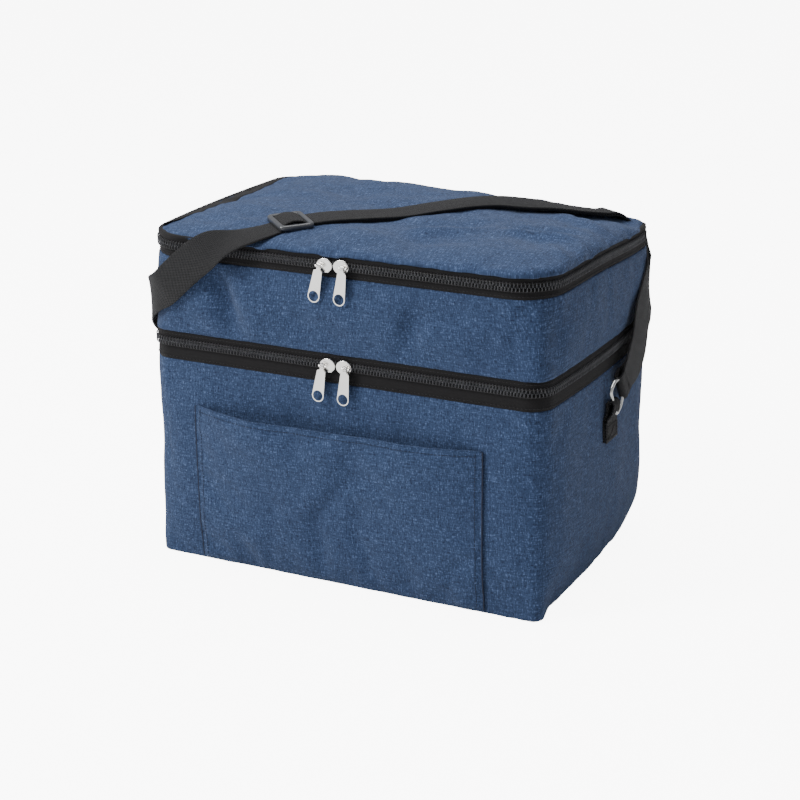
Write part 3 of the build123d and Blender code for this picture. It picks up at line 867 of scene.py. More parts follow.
foam_wall("lower_foam_wall", 2.0, 166.6, 22, 6.2, low_radius, lower_push, "lower",
          "lower_foam", lift=True)
foam_wall("upper_foam_wall", UP_BOT + 1.2, 60, 14, 6.3, up_radius, upper_push, "upper",
          "upper_foam")

# fabric under the base
band("base_fabric",
     [(1.4, 2.2, R_FOOT), (1.4, 0.75, R_FOOT)]
     + [(inset, 0.05, R_FOOT) for inset in (5, 14, 30, 48, 66, 84, 104)],
     FABRIC, "melange_fabric", "lower", "base_panel",
     push=lambda outline, z: -foot_tuck(outline[:, 0], outline[:, 1], 0.0),
     lift=True, cap="all")


def slab(name, inset, bottom, top, radius, material, slot, body, replaced, lift=False):
    """Flat sheet with the bag's plan and a slightly eased edge."""
    insets = [inset, inset + 4, inset + 14, 30, 48, 66, 84, 100]
    ease = [0.25] + [0] * 7
    upper = [(i, top - e, radius) for i, e in zip(insets, ease)]
    lower = [(i, bottom + e, radius) for i, e in zip(insets, ease)]
    band(name, upper[::-1] + lower, material, slot, body, replaced, lift=lift, cap="all")


slab("base_board_sheet", 11.5, 1.4, 3.2, 15, BOARD, "board", "lower", "base_board", lift=True)
slab("base_foam_sheet", 11.5, 3.4, 8.2, 15, FOAM, "foam", "lower", "base_foam", lift=True)
slab("divider_foam_sheet", 8.0, UP_BOT + 0.9, UP_BOT + 5.6, R_LOW + 2, FOAM, "foam", "upper",
     "divider_foam")
slab("lid_foam_sheet", 24.0, LID_Z + 0.2, LID_Z + 3.0, R_TOP + 6, FOAM, "foam", "lid",
     "lid_foam")


def foil(name, profile, body, replaced, crinkle, **options):
    band(name, profile, FOIL, "foil", body, replaced, cap="middle", crinkle=crinkle,
         thick=0.25, **options)


# foil tubs: walls, a turn at the foot, then a floor (inset, z, corner radius)
foil("lower_foil_tub",
     [(7.2, z, R_FOOT + 3 + 8 * z / 170) for z in np.linspace(LOW_TOP - 1.5, 16, 24)]
     + [(8.2, 11.8, 13), (10.5, 9.8, 15), (14, 9.2, 18)]
     + [(inset, 9.1, 20) for inset in (24, 40, 58, 76, 92, 105)],
     "lower", "lower_liner", 0.55, lift=True, push=lower_push)
FLOOR_Z = UP_BOT + 6.0
foil("upper_foil_tub",
     [(7.5, z, R_LOW + 3 + 12 * (z - FLOOR_Z) / 56)
      for z in np.linspace(UP_TOP - 1.5, FLOOR_Z + 5, 12)]
     + [(8.6, FLOOR_Z + 2.2, 21), (11, FLOOR_Z + 1.1, 21), (15, FLOOR_Z + 0.8, 21)]
     + [(inset, FLOOR_Z + 0.7, 21) for inset in (26, 42, 60, 78, 94, 106)],
     "upper", "upper_liner", 0.5, push=upper_push)
# flat foil facings
foil("divider_foil",
     [(inset, UP_BOT + 0.35, R_LOW + 2) for inset in (6.8, 10, 18, 32, 48, 66, 84, 105)],
     "upper", "divider_facing", 0.4)
foil("lid_foil", [(inset, LID_Z - 0.2, R_TOP) for inset in (2.4, 6, 14, 30, 48, 66, 84, 105)],
     "lid", "lid_liner", 0.4)

# ---------------------------------------------------------------- lid
# distance in from the edge, how far in (-) or out (+) the surface lies, height over the edge
LID_EDGE = np.array([
    (0, -0.6, -0.2), (0.7, 0.3, -0.1), (1.4, 1.3, 0.1), (2.2, 2.0, 0.5), (3.2, 2.4, 1.9),
    (4.4, 2.3, 3.4), (5.8, 1.7, 4.9), (7.6, 0.4, 6.5), (10, -2.0, 7.9), (13, -5.6, 8.9),
    (16.5, -10.3, 9.5), (20.5, -15.6, 9.9), (25, -22.0, 10.1), (32, -31.2, 10.3),
    (44, -44, 10.6), (60, -60, 10.9), (111, -111, 11.3)])
LID_RIM = 25                                # closer samples lie within this of the edge
# relief well in from the edge, x0, y0, x1, y1, width, height
LID_INNER_FOLDS = [(20, -62, 108, -28, 7.5, 4.2), (96, -34, 170, -20, 6.0, 4.0),
                   (140, -40, 182, -84, 5.0, 3.2), (108, 62, 178, 8, 8.0, 4.2)]
LID_OPEN_FOLDS = [(-150, -86, -60, -96, 4.0, 0.7), (-160, 40, -90, 84, 6, 0.8)]
# height, centre x, y, spread x, y, turn
LID_INNER_BUMPS = [(-3.2, 70, -66, 34, 12, 12), (-2.6, 136, -46, 22, 13, -20),
                   (1.6, 104, -52, 12, 20, 10)]
LID_OPEN_BUMPS = [(3.2, -62, 74, 42, 26, 0), (-1.2, -150, 84, 26, 30, 0)]
# bumps that each fade out over their own distance from the edge
LID_FADING_BUMPS = [(22, (-1.0, -62, -72, 22, 18, 40)), (16, (-5.0, 162, 92, 30, 20, 45)),
                    (10, (2.9, -138, 94, 16, 22, 0)),
                    (5, (-3.2, -106, -100, 26, 15, 0))]    # where the strap bends over


def axis_samples(half):
    rim = LID_EDGE[LID_EDGE[:, 0] <= LID_RIM, 0]
    steps = int((half - LID_RIM) / 3.6)
    position = half - np.concatenate([rim, np.linspace(LID_RIM, half, steps + 1)[1:]])
    return np.concatenate([-position, position[::-1][1:]])


def lid_plan(x, y):
    """Square plan to the rounded, bowed one, with the distance in from the edge and the
    way out."""
    w, d = HALF_W, HALF_D
    r = np.where(y > 0, R_BACK, R_TOP)
    cx, cy = np.maximum(np.abs(x) - (w - r), 0), np.maximum(np.abs(y) - (d - r), 0)
    longer, length = np.maximum(cx, cy), np.hypot(cx, cy) + 1e-9
    corner = (cx > 0) & (cy > 0)
    pull = np.where(corner, longer / length, 1.0)
    px = np.sign(x) * (np.minimum(np.abs(x), w - r) + cx * pull)
    py = np.sign(y) * (np.minimum(np.abs(y), d - r) + cy * pull)
    edge = np.where(corner, r - longer, np.minimum(w - np.abs(x), d - np.abs(y)))
    by_side = w - np.abs(x) < d - np.abs(y)
    out_x = np.where(corner, np.sign(x) * cx / length, np.where(by_side, np.sign(x), 0))
    out_y = np.where(corner, np.sign(y) * cy / length, np.where(by_side, 0, np.sign(y)))
    bow = BOW * np.clip(1 - (py / d) ** 2, 0, 1) * smooth((np.abs(px) - (w - r)) / r)
    return px + np.sign(px) * bow, py, np.maximum(edge, 0), out_x, out_y


def lid_height(x, y, edge, out_x, out_y):
    height = np.interp(edge, LID_EDGE[:, 0], LID_EDGE[:, 2])
    # it lies lower along the left edge
    left = smooth((-x - 100) / 60)
    height = height * (1 - 0.48 * left * (1 - smooth((edge - 14) / 44)))
    height = height - 0.5 * left * smooth(edge / 14) * (1 - smooth((edge - 24) / 50))
    height = height + smooth(edge / 22) * (1.9 * fbm(x / 58, y / 38, 31)
                                           + 0.9 * fbm(x / 26, y / 19, 33))
    height = height + smooth((edge - 5) / 14) * (folds(x, y, LID_INNER_FOLDS)
                                                 + bumps(x, y, LID_INNER_BUMPS))
    height = height + folds(x, y, LID_OPEN_FOLDS) + bumps(x, y, LID_OPEN_BUMPS)
    for distance, row in LID_FADING_BUMPS:
        height = height + smooth(edge / distance) * bumps(x, y, [row])
    # puckers round the rim
    along = np.where(np.abs(out_x) > np.abs(out_y), y, x)
    rim = np.exp(-((edge - 7) / 7.0) ** 2)
    return height + rim * (0.35 * fbm(along / 17, edge / 40, 35, 2) + 0.25)


lid_cols, lid_rows = axis_samples(HALF_W), axis_samples(HALF_D)
plan_x, plan_y, lid_edge, way_x, way_y = lid_plan(*np.meshgrid(lid_cols, lid_rows))
lid_out = np.interp(lid_edge, LID_EDGE[:, 0], LID_EDGE[:, 1]) + lid_edge
# the lid sits back from the tape at the left and the back
set_back = np.maximum(smooth((-plan_x - 120) / 50), smooth((plan_y - 70) / 30))
lid_out = lid_out - 5.2 * set_back * (1 - smooth((lid_edge - 8) / 20))
lid_x, lid_y = plan_x + way_x * lid_out, plan_y + way_y * lid_out
lid_z = LID_Z + lid_height(plan_x, plan_y, lid_edge, way_x, way_y)
lid_points = np.stack([lid_x, lid_y, lid_z], 2)


def every_other(count):
    return np.unique(np.r_[0:count:2, count - 1])


pin = np.where(lid_edge < 0.5, 1.0, np.where(lid_edge < 1.6, 0.5, 0.0))
row_pick, col_pick = every_other(len(lid_rows)), every_other(len(lid_cols))
pick = np.ix_(row_pick, col_pick)
lid_move = cloth("lid", lid_points[pick], False, pin[pick], pressure=4.0, cap=4.5,
                 grow=0.016, bend=0.6)
lid_move = upsample(lid_move,
                    np.interp(np.arange(len(lid_rows)), row_pick, np.arange(len(row_pick))),
                    np.interp(np.arange(len(lid_cols)), col_pick, np.arange(len(col_pick))),
                    False)
mid_rise = max(float(np.median(lid_move[..., 2][lid_edge > 50])), 0.0)
lid_move[..., 2] -= 0.65 * smooth(lid_edge / 40) * mid_rise
lid_points = lid_points + lid_move * smooth(lid_edge / 3.0)[..., None]
lid = grid_object("lid_fabric", lid_points, np.stack([lid_x + 600, lid_y], 2), FABRIC,
                  thick=0.8)
register(lid, "lid", "melange_fabric", "lid_panel")


def lid_edge_tape():
    """The zip tape rolls over on to the lid along its left edge."""
    chosen = np.nonzero((lid_rows > -92) & (lid_rows < 112))[0]
    roll = lid_points[chosen, 1:12].copy()
    widen = smooth((lid_rows[chosen] + 92) / 34)[:, None]
    roll[..., 2] += 0.55
    roll[..., 0] = roll[:, :1, 0] + (roll[..., 0] - roll[:, :1, 0]) * (0.25 + 0.75 * widen)
    roll[:, -1, 2] -= 0.5
    uv = np.stack([roll[..., 1], roll[..., 0] + 200], 2)
    ob = grid_object("lid_edge_tape_left", roll, uv, TAPE, thick=0.5)
    register(ob, "lid", "zip_tape", "top_zip_upper_tape")


lid_edge_tape()


def lid_top(x, y):
    """Height of the finished lid near a point."""
    nearest = np.argmin((lid_points[..., 0] - x) ** 2 + (lid_points[..., 1] - y) ** 2)
    z = float(lid_points[..., 2].ravel()[nearest])
    return z - float(sag(x, y, z))


# ---------------------------------------------------------------- stitches
def stitches(name, path, outward, material, body, pitch, length, radius):
    """Row of short raised stitches along a path, standing off along outward."""
    path = np.asarray(path, float)
    outward = np.broadcast_to(np.asarray(outward, float), path.shape)
    distance = arclen(path)
    rise = np.array([-0.25, 0.12, 0.22, 0.12, -0.25])[:, None]
    parts = []
    for k in range(int(distance[-1] / pitch)):
        start = (k + 0.5) * pitch - length / 2
        at = np.linspace(start, start + length, 5)
        spine, out = (np.stack([np.interp(at, distance, values[:, i]) for i in range(3)], 1)
                      for values in (path, outward))
        parts.append(tube(spine + out * rise, radius, 5))
    register(join(name, parts, material), body, "thread", "tab_stitching")


# ---------------------------------------------------------------- slip pocket
POCKET_LEFT, POCKET_RIGHT, POCKET_TOP = -131.0, 126.5, 137.0
POCKET_W = POCKET_RIGHT - POCKET_LEFT
pocket_edge = np.array([0, 0.6, 1.5, 3, 5])
pocket_u = np.concatenate([pocket_edge, np.linspace(8, POCKET_W - 8, 74),
                           POCKET_W - pocket_edge[::-1]])
pocket_v = np.concatenate([[1.2, 2.0, 3.2], np.linspace(6, POCKET_TOP - 9, 34),
                           np.linspace(POCKET_TOP - 7.5, POCKET_TOP - 0.4, 8)])
POCKET_FOLDS = [(12, 108, -108, 0, 5.0, 0.9), (-70, 132, -124, 84, 6, 0.96)]
# edge of the raised left part: height, x
POCKET_SLANT = np.array([(0, -62), (26, -46), (85, -3), (123, 7), (140, 10)])


def pocket_gap(u, x, z):
    """How far the pocket stands off the wall."""
    side = np.minimum(u, POCKET_W - u)
    gap = 1.9 * smooth(side / 5.0) + 0.9
    gap = gap + 5.2 * smooth(side / 50) * smooth((z - 40) / 95) ** 1.4
    gap = gap + 2.6 * np.exp(-((u - 62) / 42.0) ** 2) * smooth((z - 55) / 80)
    gap = gap + 2.2 * np.exp(-((u - 190) / 40.0) ** 2) * smooth((z - 70) / 66)
    gap = gap * smooth((z - 1.0) / 4.5) + 0.8
    # the left part stands out and falls away across a slanting band
    slant = np.interp(z, POCKET_SLANT[:, 0], POCKET_SLANT[:, 1])
    gap = gap + (3.2 * (1 - smooth((x - slant + 10) / 20)) * smooth(side / 60)
                 * smooth((z - 4) / 30))
    gap = gap + folds(x, z, POCKET_FOLDS)
    gap = gap + 0.5 * fbm(x / 60, z / 45, 71) * smooth(z / 20) * smooth(u / 12)
    # puckers along the bottom seam
    return gap + 0.35 * fbm(x / 9, z / 200, 75, 2) * np.exp(-(z - 1) / 9.0)


grid_u, grid_v = np.meshgrid(pocket_u, pocket_v)
pocket_x = POCKET_LEFT + grid_u
wall_out = front_skin(pocket_x, grid_v)
mouth_drop = (-1.6 * np.sin(math.pi * np.clip(grid_u / POCKET_W, 0, 1))
              * smooth((grid_v - 60) / 77))
pocket_points = np.stack([pocket_x, -HALF_D - wall_out - pocket_gap(grid_u, pocket_x, grid_v),
                          grid_v + mouth_drop], 2)
pin = np.where((np.minimum(grid_u, POCKET_W - grid_u) < 0.8) | (grid_v < 2.5), 1.0, 0.0)
pocket_move = cloth("pocket", pocket_points, False, pin, pressure=2.2, cap=4.0, grow=0.010,
                    bend=1.5)
pocket_move[..., 1] = np.minimum(pocket_move[..., 1], 1.0)
pocket_points = pocket_points + pocket_move
pocket_points[..., 1] = np.minimum(pocket_points[..., 1], -HALF_D - wall_out - 0.9)
pocket = grid_object("pocket_fabric", pocket_points,
                     np.stack([pocket_x + 900, grid_v + 300], 2), FABRIC, thick=0.9)
register(pocket, "lower", "melange_fabric", "front_pocket")


def pocket_hem():
    """The cloth goes over the top edge and down inside."""
    rows = []
    # rise, move back
    for rise, back in [(0.0, -0.1), (0.7, 0.4), (0.75, 1.0), (0.2, 1.5), (-2, 1.7),
                       (-4, 1.75), (-8, 1.8)]:
        row = pocket_points[-1] + (0, back, rise)
        row[:, 0] = np.clip(row[:, 0], POCKET_LEFT + 1.2, POCKET_RIGHT - 1.2)
        row[:, 1] = np.minimum(row[:, 1], -HALF_D - wall_out[-1] - 0.2)
        rows.append(row)
    v = np.linspace(POCKET_TOP + 300, POCKET_TOP + 310, len(rows))
    uv = np.stack(np.meshgrid(pocket_x[-1] + 900, v), 2)
    ob = grid_object("pocket_hem_fold", np.array(rows), uv, FABRIC, thick=0.5)
    register(ob, "lower", "melange_fabric", "pocket_hem")


pocket_hem()
# Dark navy cord down each side edge of the pocket: mostly painted seam shadow, a dark strip that
# stands in for the shade in the folded side seam, and partly the edge stitching.
for word, column, side in (("left", 0, -1), ("right", -1, 1)):
    cord = tube(pocket_points[2:, column] + (side * 0.35, 0.25, 0), 0.62, 6)
    seam = join("pocket_seam_" + word, [cord], NAVY_THREAD)
    register(seam, "lower", "thread", "pocket_hem")

POCKET_STITCH = dict(outward=(0, -1.0, 0), material=NAVY_THREAD, body="lower", pitch=3.1,
                     length=2.4, radius=0.22)
hem_row = np.argmin(np.abs(pocket_v - (POCKET_TOP - 4.6)))
stitches("pocket_hem_stitch", pocket_points[hem_row, 3:-3] + (0, -0.15, 0), **POCKET_STITCH)
for word, column in (("left", 4), ("right", -5)):
    stitches("pocket_side_stitch_" + word, pocket_points[3:, column] + (0, -0.1, 0),
             **POCKET_STITCH)


# ---------------------------------------------------------------- zip tapes
def ribbon(name, path, radius, profile, body, replaced, thick=0.6):
    """Tape following the plan outline. Profile rows: z, inset."""
    points, uv = [], []
    u = arclen(path(0.0, radius)[0])
    v = 0.0
    for k, (z, inset) in enumerate(profile):
        if k:
            v += math.hypot(z - profile[k - 1][0], inset - profile[k - 1][1])
        outline = path(inset, radius)[0]
        points.append(np.column_stack([outline, np.full(len(outline), z)]))
        uv.append(np.stack([u, np.full(len(u), v)], 1))
    ob = grid_object(name, np.array(points), np.array(uv), TAPE, closed=path is whole_path,
                     thick=thick)
    register(ob, body, "zip_tape", replaced)
    return ob


def rows_from(z, rows):
    """Profile rows given as rise from a height, inset."""
    return [(z + rise, inset) for rise, inset in rows]


# how a tape turns over on to the lid
LID_ROLL = rows_from(LID_Z, [(0.9, 0.3), (1.3, 1.3), (1.3, 2.6), (0.9, 4.2), (0.5, 6.5)])

ribbon("main_tape_lower", front_path, R_LOW,
       rows_from(LOW_TOP, [(-6, 1.9), (-2, 1.7), (-0.4, 1.0), (1, 0.35), (3.5, 0.1),
                           (6.5, 0.3)])
       + rows_from(MAIN_Z, [(-5, 0.7), (-0.6, 0.9)]),
       "lower", "main_zip_lower_tape")
ribbon("main_tape_upper", front_path, R_LOW,
       rows_from(MAIN_Z, [(0.6, 0.9), (4, 0.7)])
       + rows_from(UP_BOT, [(-2.4, 0.35), (-1.0, 0.5), (-0.2, 0.9), (0.6, 1.2), (2, 1.8),
                            (5, 1.9)]),
       "upper", "main_zip_upper_tape")
ribbon("top_tape_lower", front_path, R_TOP,
       rows_from(UP_TOP, [(-5, 1.9), (-2, 1.7), (-0.4, 1.0), (1, 0.4), (3, 0.5), (5.4, 0.8)])
       + rows_from(TOP_Z, [(-0.6, 0.9)]),
       "upper", "top_zip_lower_tape")
ribbon("top_tape_upper", front_path, R_TOP,
       rows_from(TOP_Z, [(0.6, 0.9), (3, 0.7)])
       + rows_from(LID_Z, [(-3.2, 0.3), (-1.2, -0.3), (0.1, -0.3)]) + LID_ROLL,
       "lid", "top_zip_upper_tape")

# binding over the raw edges inside the openings
ribbon("binding_lower", whole_path, R_LOW,
       rows_from(LOW_TOP, [(-9, 9.0), (-2, 8.5), (-0.4, 7.7), (0.1, 6.0), (-0.2, 2.2)]),
       "lower", "main_zip_lower_tape", 0.5)
ribbon("binding_divider", whole_path, R_LOW,
       rows_from(UP_BOT, [(-0.5, 13.0), (-0.75, 9.0), (-0.5, 5.0), (0.2, 1.9)]),
       "upper", "main_zip_upper_tape", 0.4)
ribbon("binding_upper", whole_path, R_TOP,
       rows_from(UP_TOP, [(-9, 9.3), (-2, 8.7), (-0.4, 7.8), (0.1, 6.0), (-0.2, 2.2)]),
       "upper", "top_zip_lower_tape", 0.5)
ribbon("binding_lid", whole_path, R_TOP,
       rows_from(LID_Z, [(-1.1, 12.0), (-1.3, 7.0), (-0.9, 3.0), (-0.2, 1.6)]),
       "lid", "top_zip_upper_tape", 0.4)

# ---------------------------------------------------------------- zip coils
TOOTH_PITCH = 2.7
# one bent tooth: across the chain, outwards, along the chain, rod radius
TOOTH = np.array([
    (4.3, 0.35, -0.30, 0.36), (4.45, 0.9, -0.25, 0.38), (4.1, 1.75, -0.15, 0.40),
    (2.6, 2.05, 0.0, 0.42), (1.1, 2.0, 0.0, 0.44), (0.15, 1.65, 0.0, 0.46),
    (-0.35, 1.1, 0.0, 0.46), (0.1, 0.55, 0.0, 0.42), (1.2, 0.3, 0.1, 0.36),
    (3.2, 0.28, 0.25, 0.32)])
TOOTH[:, 0] *= 0.80
TOOTH[:, 3] *= 0.86


def coil(name, radius, centre_z, up, body, replaced):
    """One half of a chain, its teeth half a pitch off the other half's."""
    outline, normal = front_path(0.9, radius, 3.0)
    distance = arclen(outline)

    def at(where, values):
        return np.stack([np.interp(where, distance, values[:, i]) for i in (0, 1)], 1)

    sign = 1 if up else -1
    count = int((distance[-1] - 3) / TOOTH_PITCH)
    where = 1.5 + TOOTH_PITCH * (np.arange(count) + (0.5 if up else 0.0))
    across, outwards, along, rod = TOOTH.T
    tooth, tooth_faces = tube(np.stack([along, -outwards, sign * across], 1), rod, 6)
    parts = []
    for place, out in zip(at(where, outline), unit(at(where, normal))):
        forward = np.array([-out[1], out[0]])
        flat = place + tooth[:, :1] * forward - tooth[:, 1:2] * out
        parts.append((np.column_stack([flat, centre_z + tooth[:, 2]]), tooth_faces))
    register(join(name, parts, COIL), body, "zip_coil", replaced)

    # cord lying over the teeth
    where = np.arange(1.5, distance[-1] - 1.5, 0.44)
    lift = 1.95 + 0.16 * np.sin(2 * math.pi * where / TOOTH_PITCH)
    flat = at(where, outline) + at(where, normal) * lift[:, None]
    path = np.column_stack([flat, np.full(len(where), centre_z + sign * 3.15)])
    cord = join(name + "_cord", [tube(path, 0.26, 5)], THREAD)
    register(cord, body, "thread", replaced)


coil("main_coil_lower", R_LOW, MAIN_Z, False, "lower", "main_zip_lower_chain")
coil("main_coil_upper", R_LOW, MAIN_Z, True, "upper", "main_zip_upper_chain")
coil("top_coil_lower", R_TOP, TOP_Z, False, "upper", "top_zip_lower_chain")
coil("top_coil_upper", R_TOP, TOP_Z, True, "lid", "top_zip_upper_chain")


# ---------------------------------------------------------------- back hinge strips
def hinge_strip(name, radius, profile, replaced):
    """Tape across the back between two bodies, attached to neither."""
    ob = ribbon(name, back_path, radius, profile, None, replaced)
    apply_modifiers(ob)
    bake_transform(ob)


def hinge_inset(z, bottom, top, edge_inset):
    return edge_inset - 0.4 * math.sin((z - bottom) / (top - bottom) * math.pi)


hinge_strip("main_hinge_band", R_LOW,
            [(z, 1.6 if z < LOW_TOP - 0.5 or z > UP_BOT + 0.5
              else hinge_inset(z, LOW_TOP, UP_BOT, 0.6))
             for z in np.linspace(LOW_TOP - 2, UP_BOT + 2, 15)],
            "main_hinge_strip")
hinge_strip("lid_hinge_band", R_TOP,
            [(z, 1.6 if z < UP_TOP - 0.5 else hinge_inset(z, UP_TOP, LID_Z, 0.5))
             for z in np.linspace(UP_TOP - 2, LID_Z + 0.1, 13)] + LID_ROLL,
            "lid_hinge_strip")


# ---------------------------------------------------------------- webbing
def webbing_object(name, points, distance, across):
    """Closed band from rows of section points, with u along it and v across."""
    uv = np.stack(np.broadcast_arrays(distance[:, None], across[None]), 2)
    points = np.concatenate([points, points[:, :1]], 1)
    uv = np.concatenate([uv, uv[:, :1]], 1)
    rows, cols = points.shape[:2]
    faces = [tuple(f) for f in grid_faces(rows, cols)]
    faces += [tuple(range(cols - 1))[::-1], tuple((rows - 1) * cols + i for i in range(cols - 1))]
    ob = new_object(name, points.reshape(-1, 3), faces, WEBBING, uv.reshape(-1, 2))
    clean(ob)
    return ob


def away_from_bag(points):
    """Outwards from the bag, near each point of the strap."""
    x, y, z = points.T
    out = np.stack([x * smooth((np.abs(x) - 140) / 30), y * smooth((np.abs(y) - 90) / 20),
                    200 * smooth((z - 262) / 20)], 1)
    return unit(out + 1e-6)


def strap_piece(name, centre, across, width, cup, ripple, seed):
    """Flat strap along a centre line, with rounded edges, a slight cup and ripples."""
    tangent = unit(np.gradient(centre, axis=0))
    across = unit(across - tangent * np.sum(across * tangent, 1)[:, None])
    normal = np.cross(tangent, across)
    facing = np.sum(normal * away_from_bag(centre), 1)
    normal = normal * np.where(facing < 0, -1, 1)[:, None]
    width = np.broadcast_to(width, (len(centre),))
    distance = arclen(centre)
    half = 0.75
    face = 0.98 * np.linspace(-1, 1, 13)
    section = np.array([(a, half) for a in face] + [(1.0, 0.45 * half), (1.0, -0.45 * half)]
                       + [(a, -half) for a in face[::-1]]
                       + [(-1.0, -0.45 * half), (-1.0, 0.45 * half)])
    side, level = section.T
    wave = ripple * np.array([fbm(distance / 38, a * 1.3, seed + 3) for a in side]).T
    height = level + cup * (1 - side ** 2) + wave
    points = (centre[:, None] + across[:, None] * (side[:, None] * width[:, None, None] / 2)
              + normal[:, None] * height[:, :, None])
    ob = webbing_object(name, points, distance, side * 15 + 15)
    register(ob, "strap", "webbing", "strap_webbing")


def folded_web(name, centre, across, width, half_thick, uv_half, ripple=0.0):
    """Webbing folded over a bar. The ripple (per row) gathers it across its width."""
    tangent = unit(np.gradient(centre, axis=0))
    normal = np.cross(tangent, across)
    face = np.linspace(-1, 1, 9)
    section = np.array([(a, half_thick) for a in face] + [(1.02, 0.0)]
                       + [(a, -half_thick) for a in face[::-1]] + [(-1.02, 0.0)])
    side, level = section.T
    width, ripple = (np.broadcast_to(v, (len(centre),))[:, None] for v in (width, ripple))
    height = level + np.cos(side * 9.5) * 0.5 * ripple
    points = (centre[:, None] + across * (side * width / 2)[:, :, None]
              + normal[:, None] * height[:, :, None])
    return webbing_object(name, points, arclen(centre), side * uv_half + 15)


# ---------------------------------------------------------------- strap
# From the left ring forward round the corner, over the lid to the right ring.
# Columns: x, y, z (below 5: height over the lid), then the direction of the strap's width.
STRAP = np.array([
    (-190.2, -19.0, 161.0, 0, 0.50, 0.87), (-190.6, -36.0, 171.5, 0, 0.56, 0.83),
    (-189.4, -56.0, 184.5, 0, 0.60, 0.80), (-186.0, -78.0, 201.0, -0.05, 0.62, 0.78),
    (-180.0, -97.0, 215.5, -0.25, 0.45, 0.84), (-168.5, -111.0, 226.5, -0.45, 0.2, 0.84),
    (-155.5, -117.4, 234.0, -0.64, 0.02, 0.76), (-142.0, -119.0, 245.8, -0.74, 0.0, 0.67),
    (-127.0, -119.4, 258.8, -0.83, 0.0, 0.55), (-110.5, -118.8, 271.0, -0.91, 0.12, 0.30),
    (-94.0, -114.0, 278.3, -0.85, 0.40, 0.14), (-80.0, -104.5, 282.8, -0.74, 0.64, 0.10),
    (-69.0, -89.0, 0, -0.73, 0.68, 0.02), (-60.5, -73.0, 0, -0.74, 0.67, 0.0),
    (-50.0, -62.5, 0, -0.70, 0.71, 0.0), (-35.0, -51.0, 0, -0.66, 0.75, 0.0),
    (-15.0, -35.5, 0, -0.66, 0.75, 0), (8.0, -13.0, 0, -0.69, 0.72, 0),
    (31.0, 8.0, 0, -0.69, 0.72, 0), (53.0, 28.0, 0, -0.62, 0.78, 0.02),
    (71.0, 40.0, 0, -0.46, 0.88, 0.03), (91.0, 50.0, 1.6, -0.40, 0.91, 0.02),
    (112.0, 60.0, 2.4, -0.44, 0.90, -0.08), (128.0, 72.0, 1.5, -0.48, 0.87, -0.12),
    (140.0, 84.0, 0.4, -0.55, 0.82, -0.12), (148.0, 96.0, 277.6, -0.62, 0.76, -0.14),
    (152.5, 107.5, 270.0, -0.78, 0.58, -0.16), (156.0, 115.4, 259.0, -0.93, 0.22, -0.26),
    (158.5, 117.0, 247.0, -0.86, 0.22, -0.44), (166.5, 114.6, 237.0, -0.64, 0.46, -0.60),
    (176.6, 102.0, 228.5, -0.36, 0.70, -0.62), (181.8, 89.0, 220.5, -0.12, 0.80, -0.58),
    (184.6, 77.0, 212.5, 0.0, 0.82, -0.56), (186.2, 65.5, 203.5, 0.02, 0.82, -0.57),
    (188.4, 53.0, 185.5, 0.03, 0.74, -0.67), (189.8, 37.0, 171.0, 0.02, 0.62, -0.78),
    (190.2, 24.0, 161.5, 0, 0.50, -0.87)])
ADJUSTER_ROW = 13                           # the station where the adjuster sits
ADJUSTER_X, ADJUSTER_Y = STRAP[ADJUSTER_ROW, :2]

strap_line, strap_across = STRAP[:, :3].copy(), STRAP[:, 3:]
for point in strap_line:
    if point[2] < 5:
        point[2] += lid_top(point[0], point[1]) + 0.95


def narrowing(distance):
    """How much narrower the strap gets towards an end."""
    return 4.5 * smooth(1 - distance / 16.0)


def strap_top_layer():
    """Right of the adjuster the webbing lies double, so this layer rides higher."""
    line = strap_line.copy()
    line[:, 2] += 1.75 * smooth((line[:, 0] + 62) / 16) * (line[:, 2] > 272)
    curve = catmull(line, 9)
    distance = arclen(curve)
    width = 30.0 - narrowing(distance) - narrowing(distance[-1] - distance)
    strap_piece("strap_top_layer", curve, catmull(strap_across, 9), width, cup=0.35,
                ripple=0.16, seed=2)


def strap_under_layer():
    """From the adjuster to the right ring, under the top layer. It slips back and down
    from the top one before both go through the ring."""
    line = strap_line[ADJUSTER_ROW:].copy()
    x, _, z = line.T.copy()
    hanging = smooth((268 - z) / 40) * (x > 150)
    slip = 13.0 * hanging * smooth((z - 158) / 22)
    line[:, 0] -= 2.0 * smooth((x - 165) / 13)
    line[:, 1] -= 2.1 * (1 - smooth((x - 168) / 12)) * (z < 274.5) * (x > 140)
    line[:, 1] += 0.72 * slip + 1.2 * (1 - hanging)
    line[:, 2] += 0.1 - 0.62 * slip
    line[-1] = (185.4, 24.0, 160.5)
    curve = catmull(line, 9)
    distance = arclen(curve)
    strap_piece("strap_under_layer", curve, catmull(strap_across[ADJUSTER_ROW:], 9),
                29.6 - narrowing(distance[-1] - distance), cup=0.2, ripple=0.2, seed=9)


def ring_fold(word, side, inner_length):
    """Webbing folded round the bow of a ring, from the outer face to the inner one."""
    fold_radius, outer_length = 2.75, 6.5
    bow = np.array([side * RING_X, RING_Y + side * BOW_REACH * math.sin(BOW_LEAN),
                    RING_Z + BOW_REACH * math.cos(BOW_LEAN)])
    out = np.array([side, 0, 0.0])
    along = unit(np.array([side * 0.02, side * 0.87, 0.50]))
    centre = [bow + out * fold_radius + along * s
              for s in np.linspace(outer_length, 0, 6)[:-1]]
    centre += [bow + fold_radius * (out * math.cos(a) - along * math.sin(a))
               for a in np.radians(np.linspace(0, 180, 11))]
    centre += [bow - out * fold_radius + along * s
               for s in np.linspace(0, inner_length, 6)[1:]]
    ob = folded_web("strap_fold_" + word, np.array(centre), np.cross(out, along), width=24.5,
                    half_thick=0.75, uv_half=13)
    register(ob, "strap", "webbing", "strap_loop_" + word)


strap_top_layer()
strap_under_layer()
ring_fold("right", 1, 8.0)
ring_fold("left", -1, 26.0)

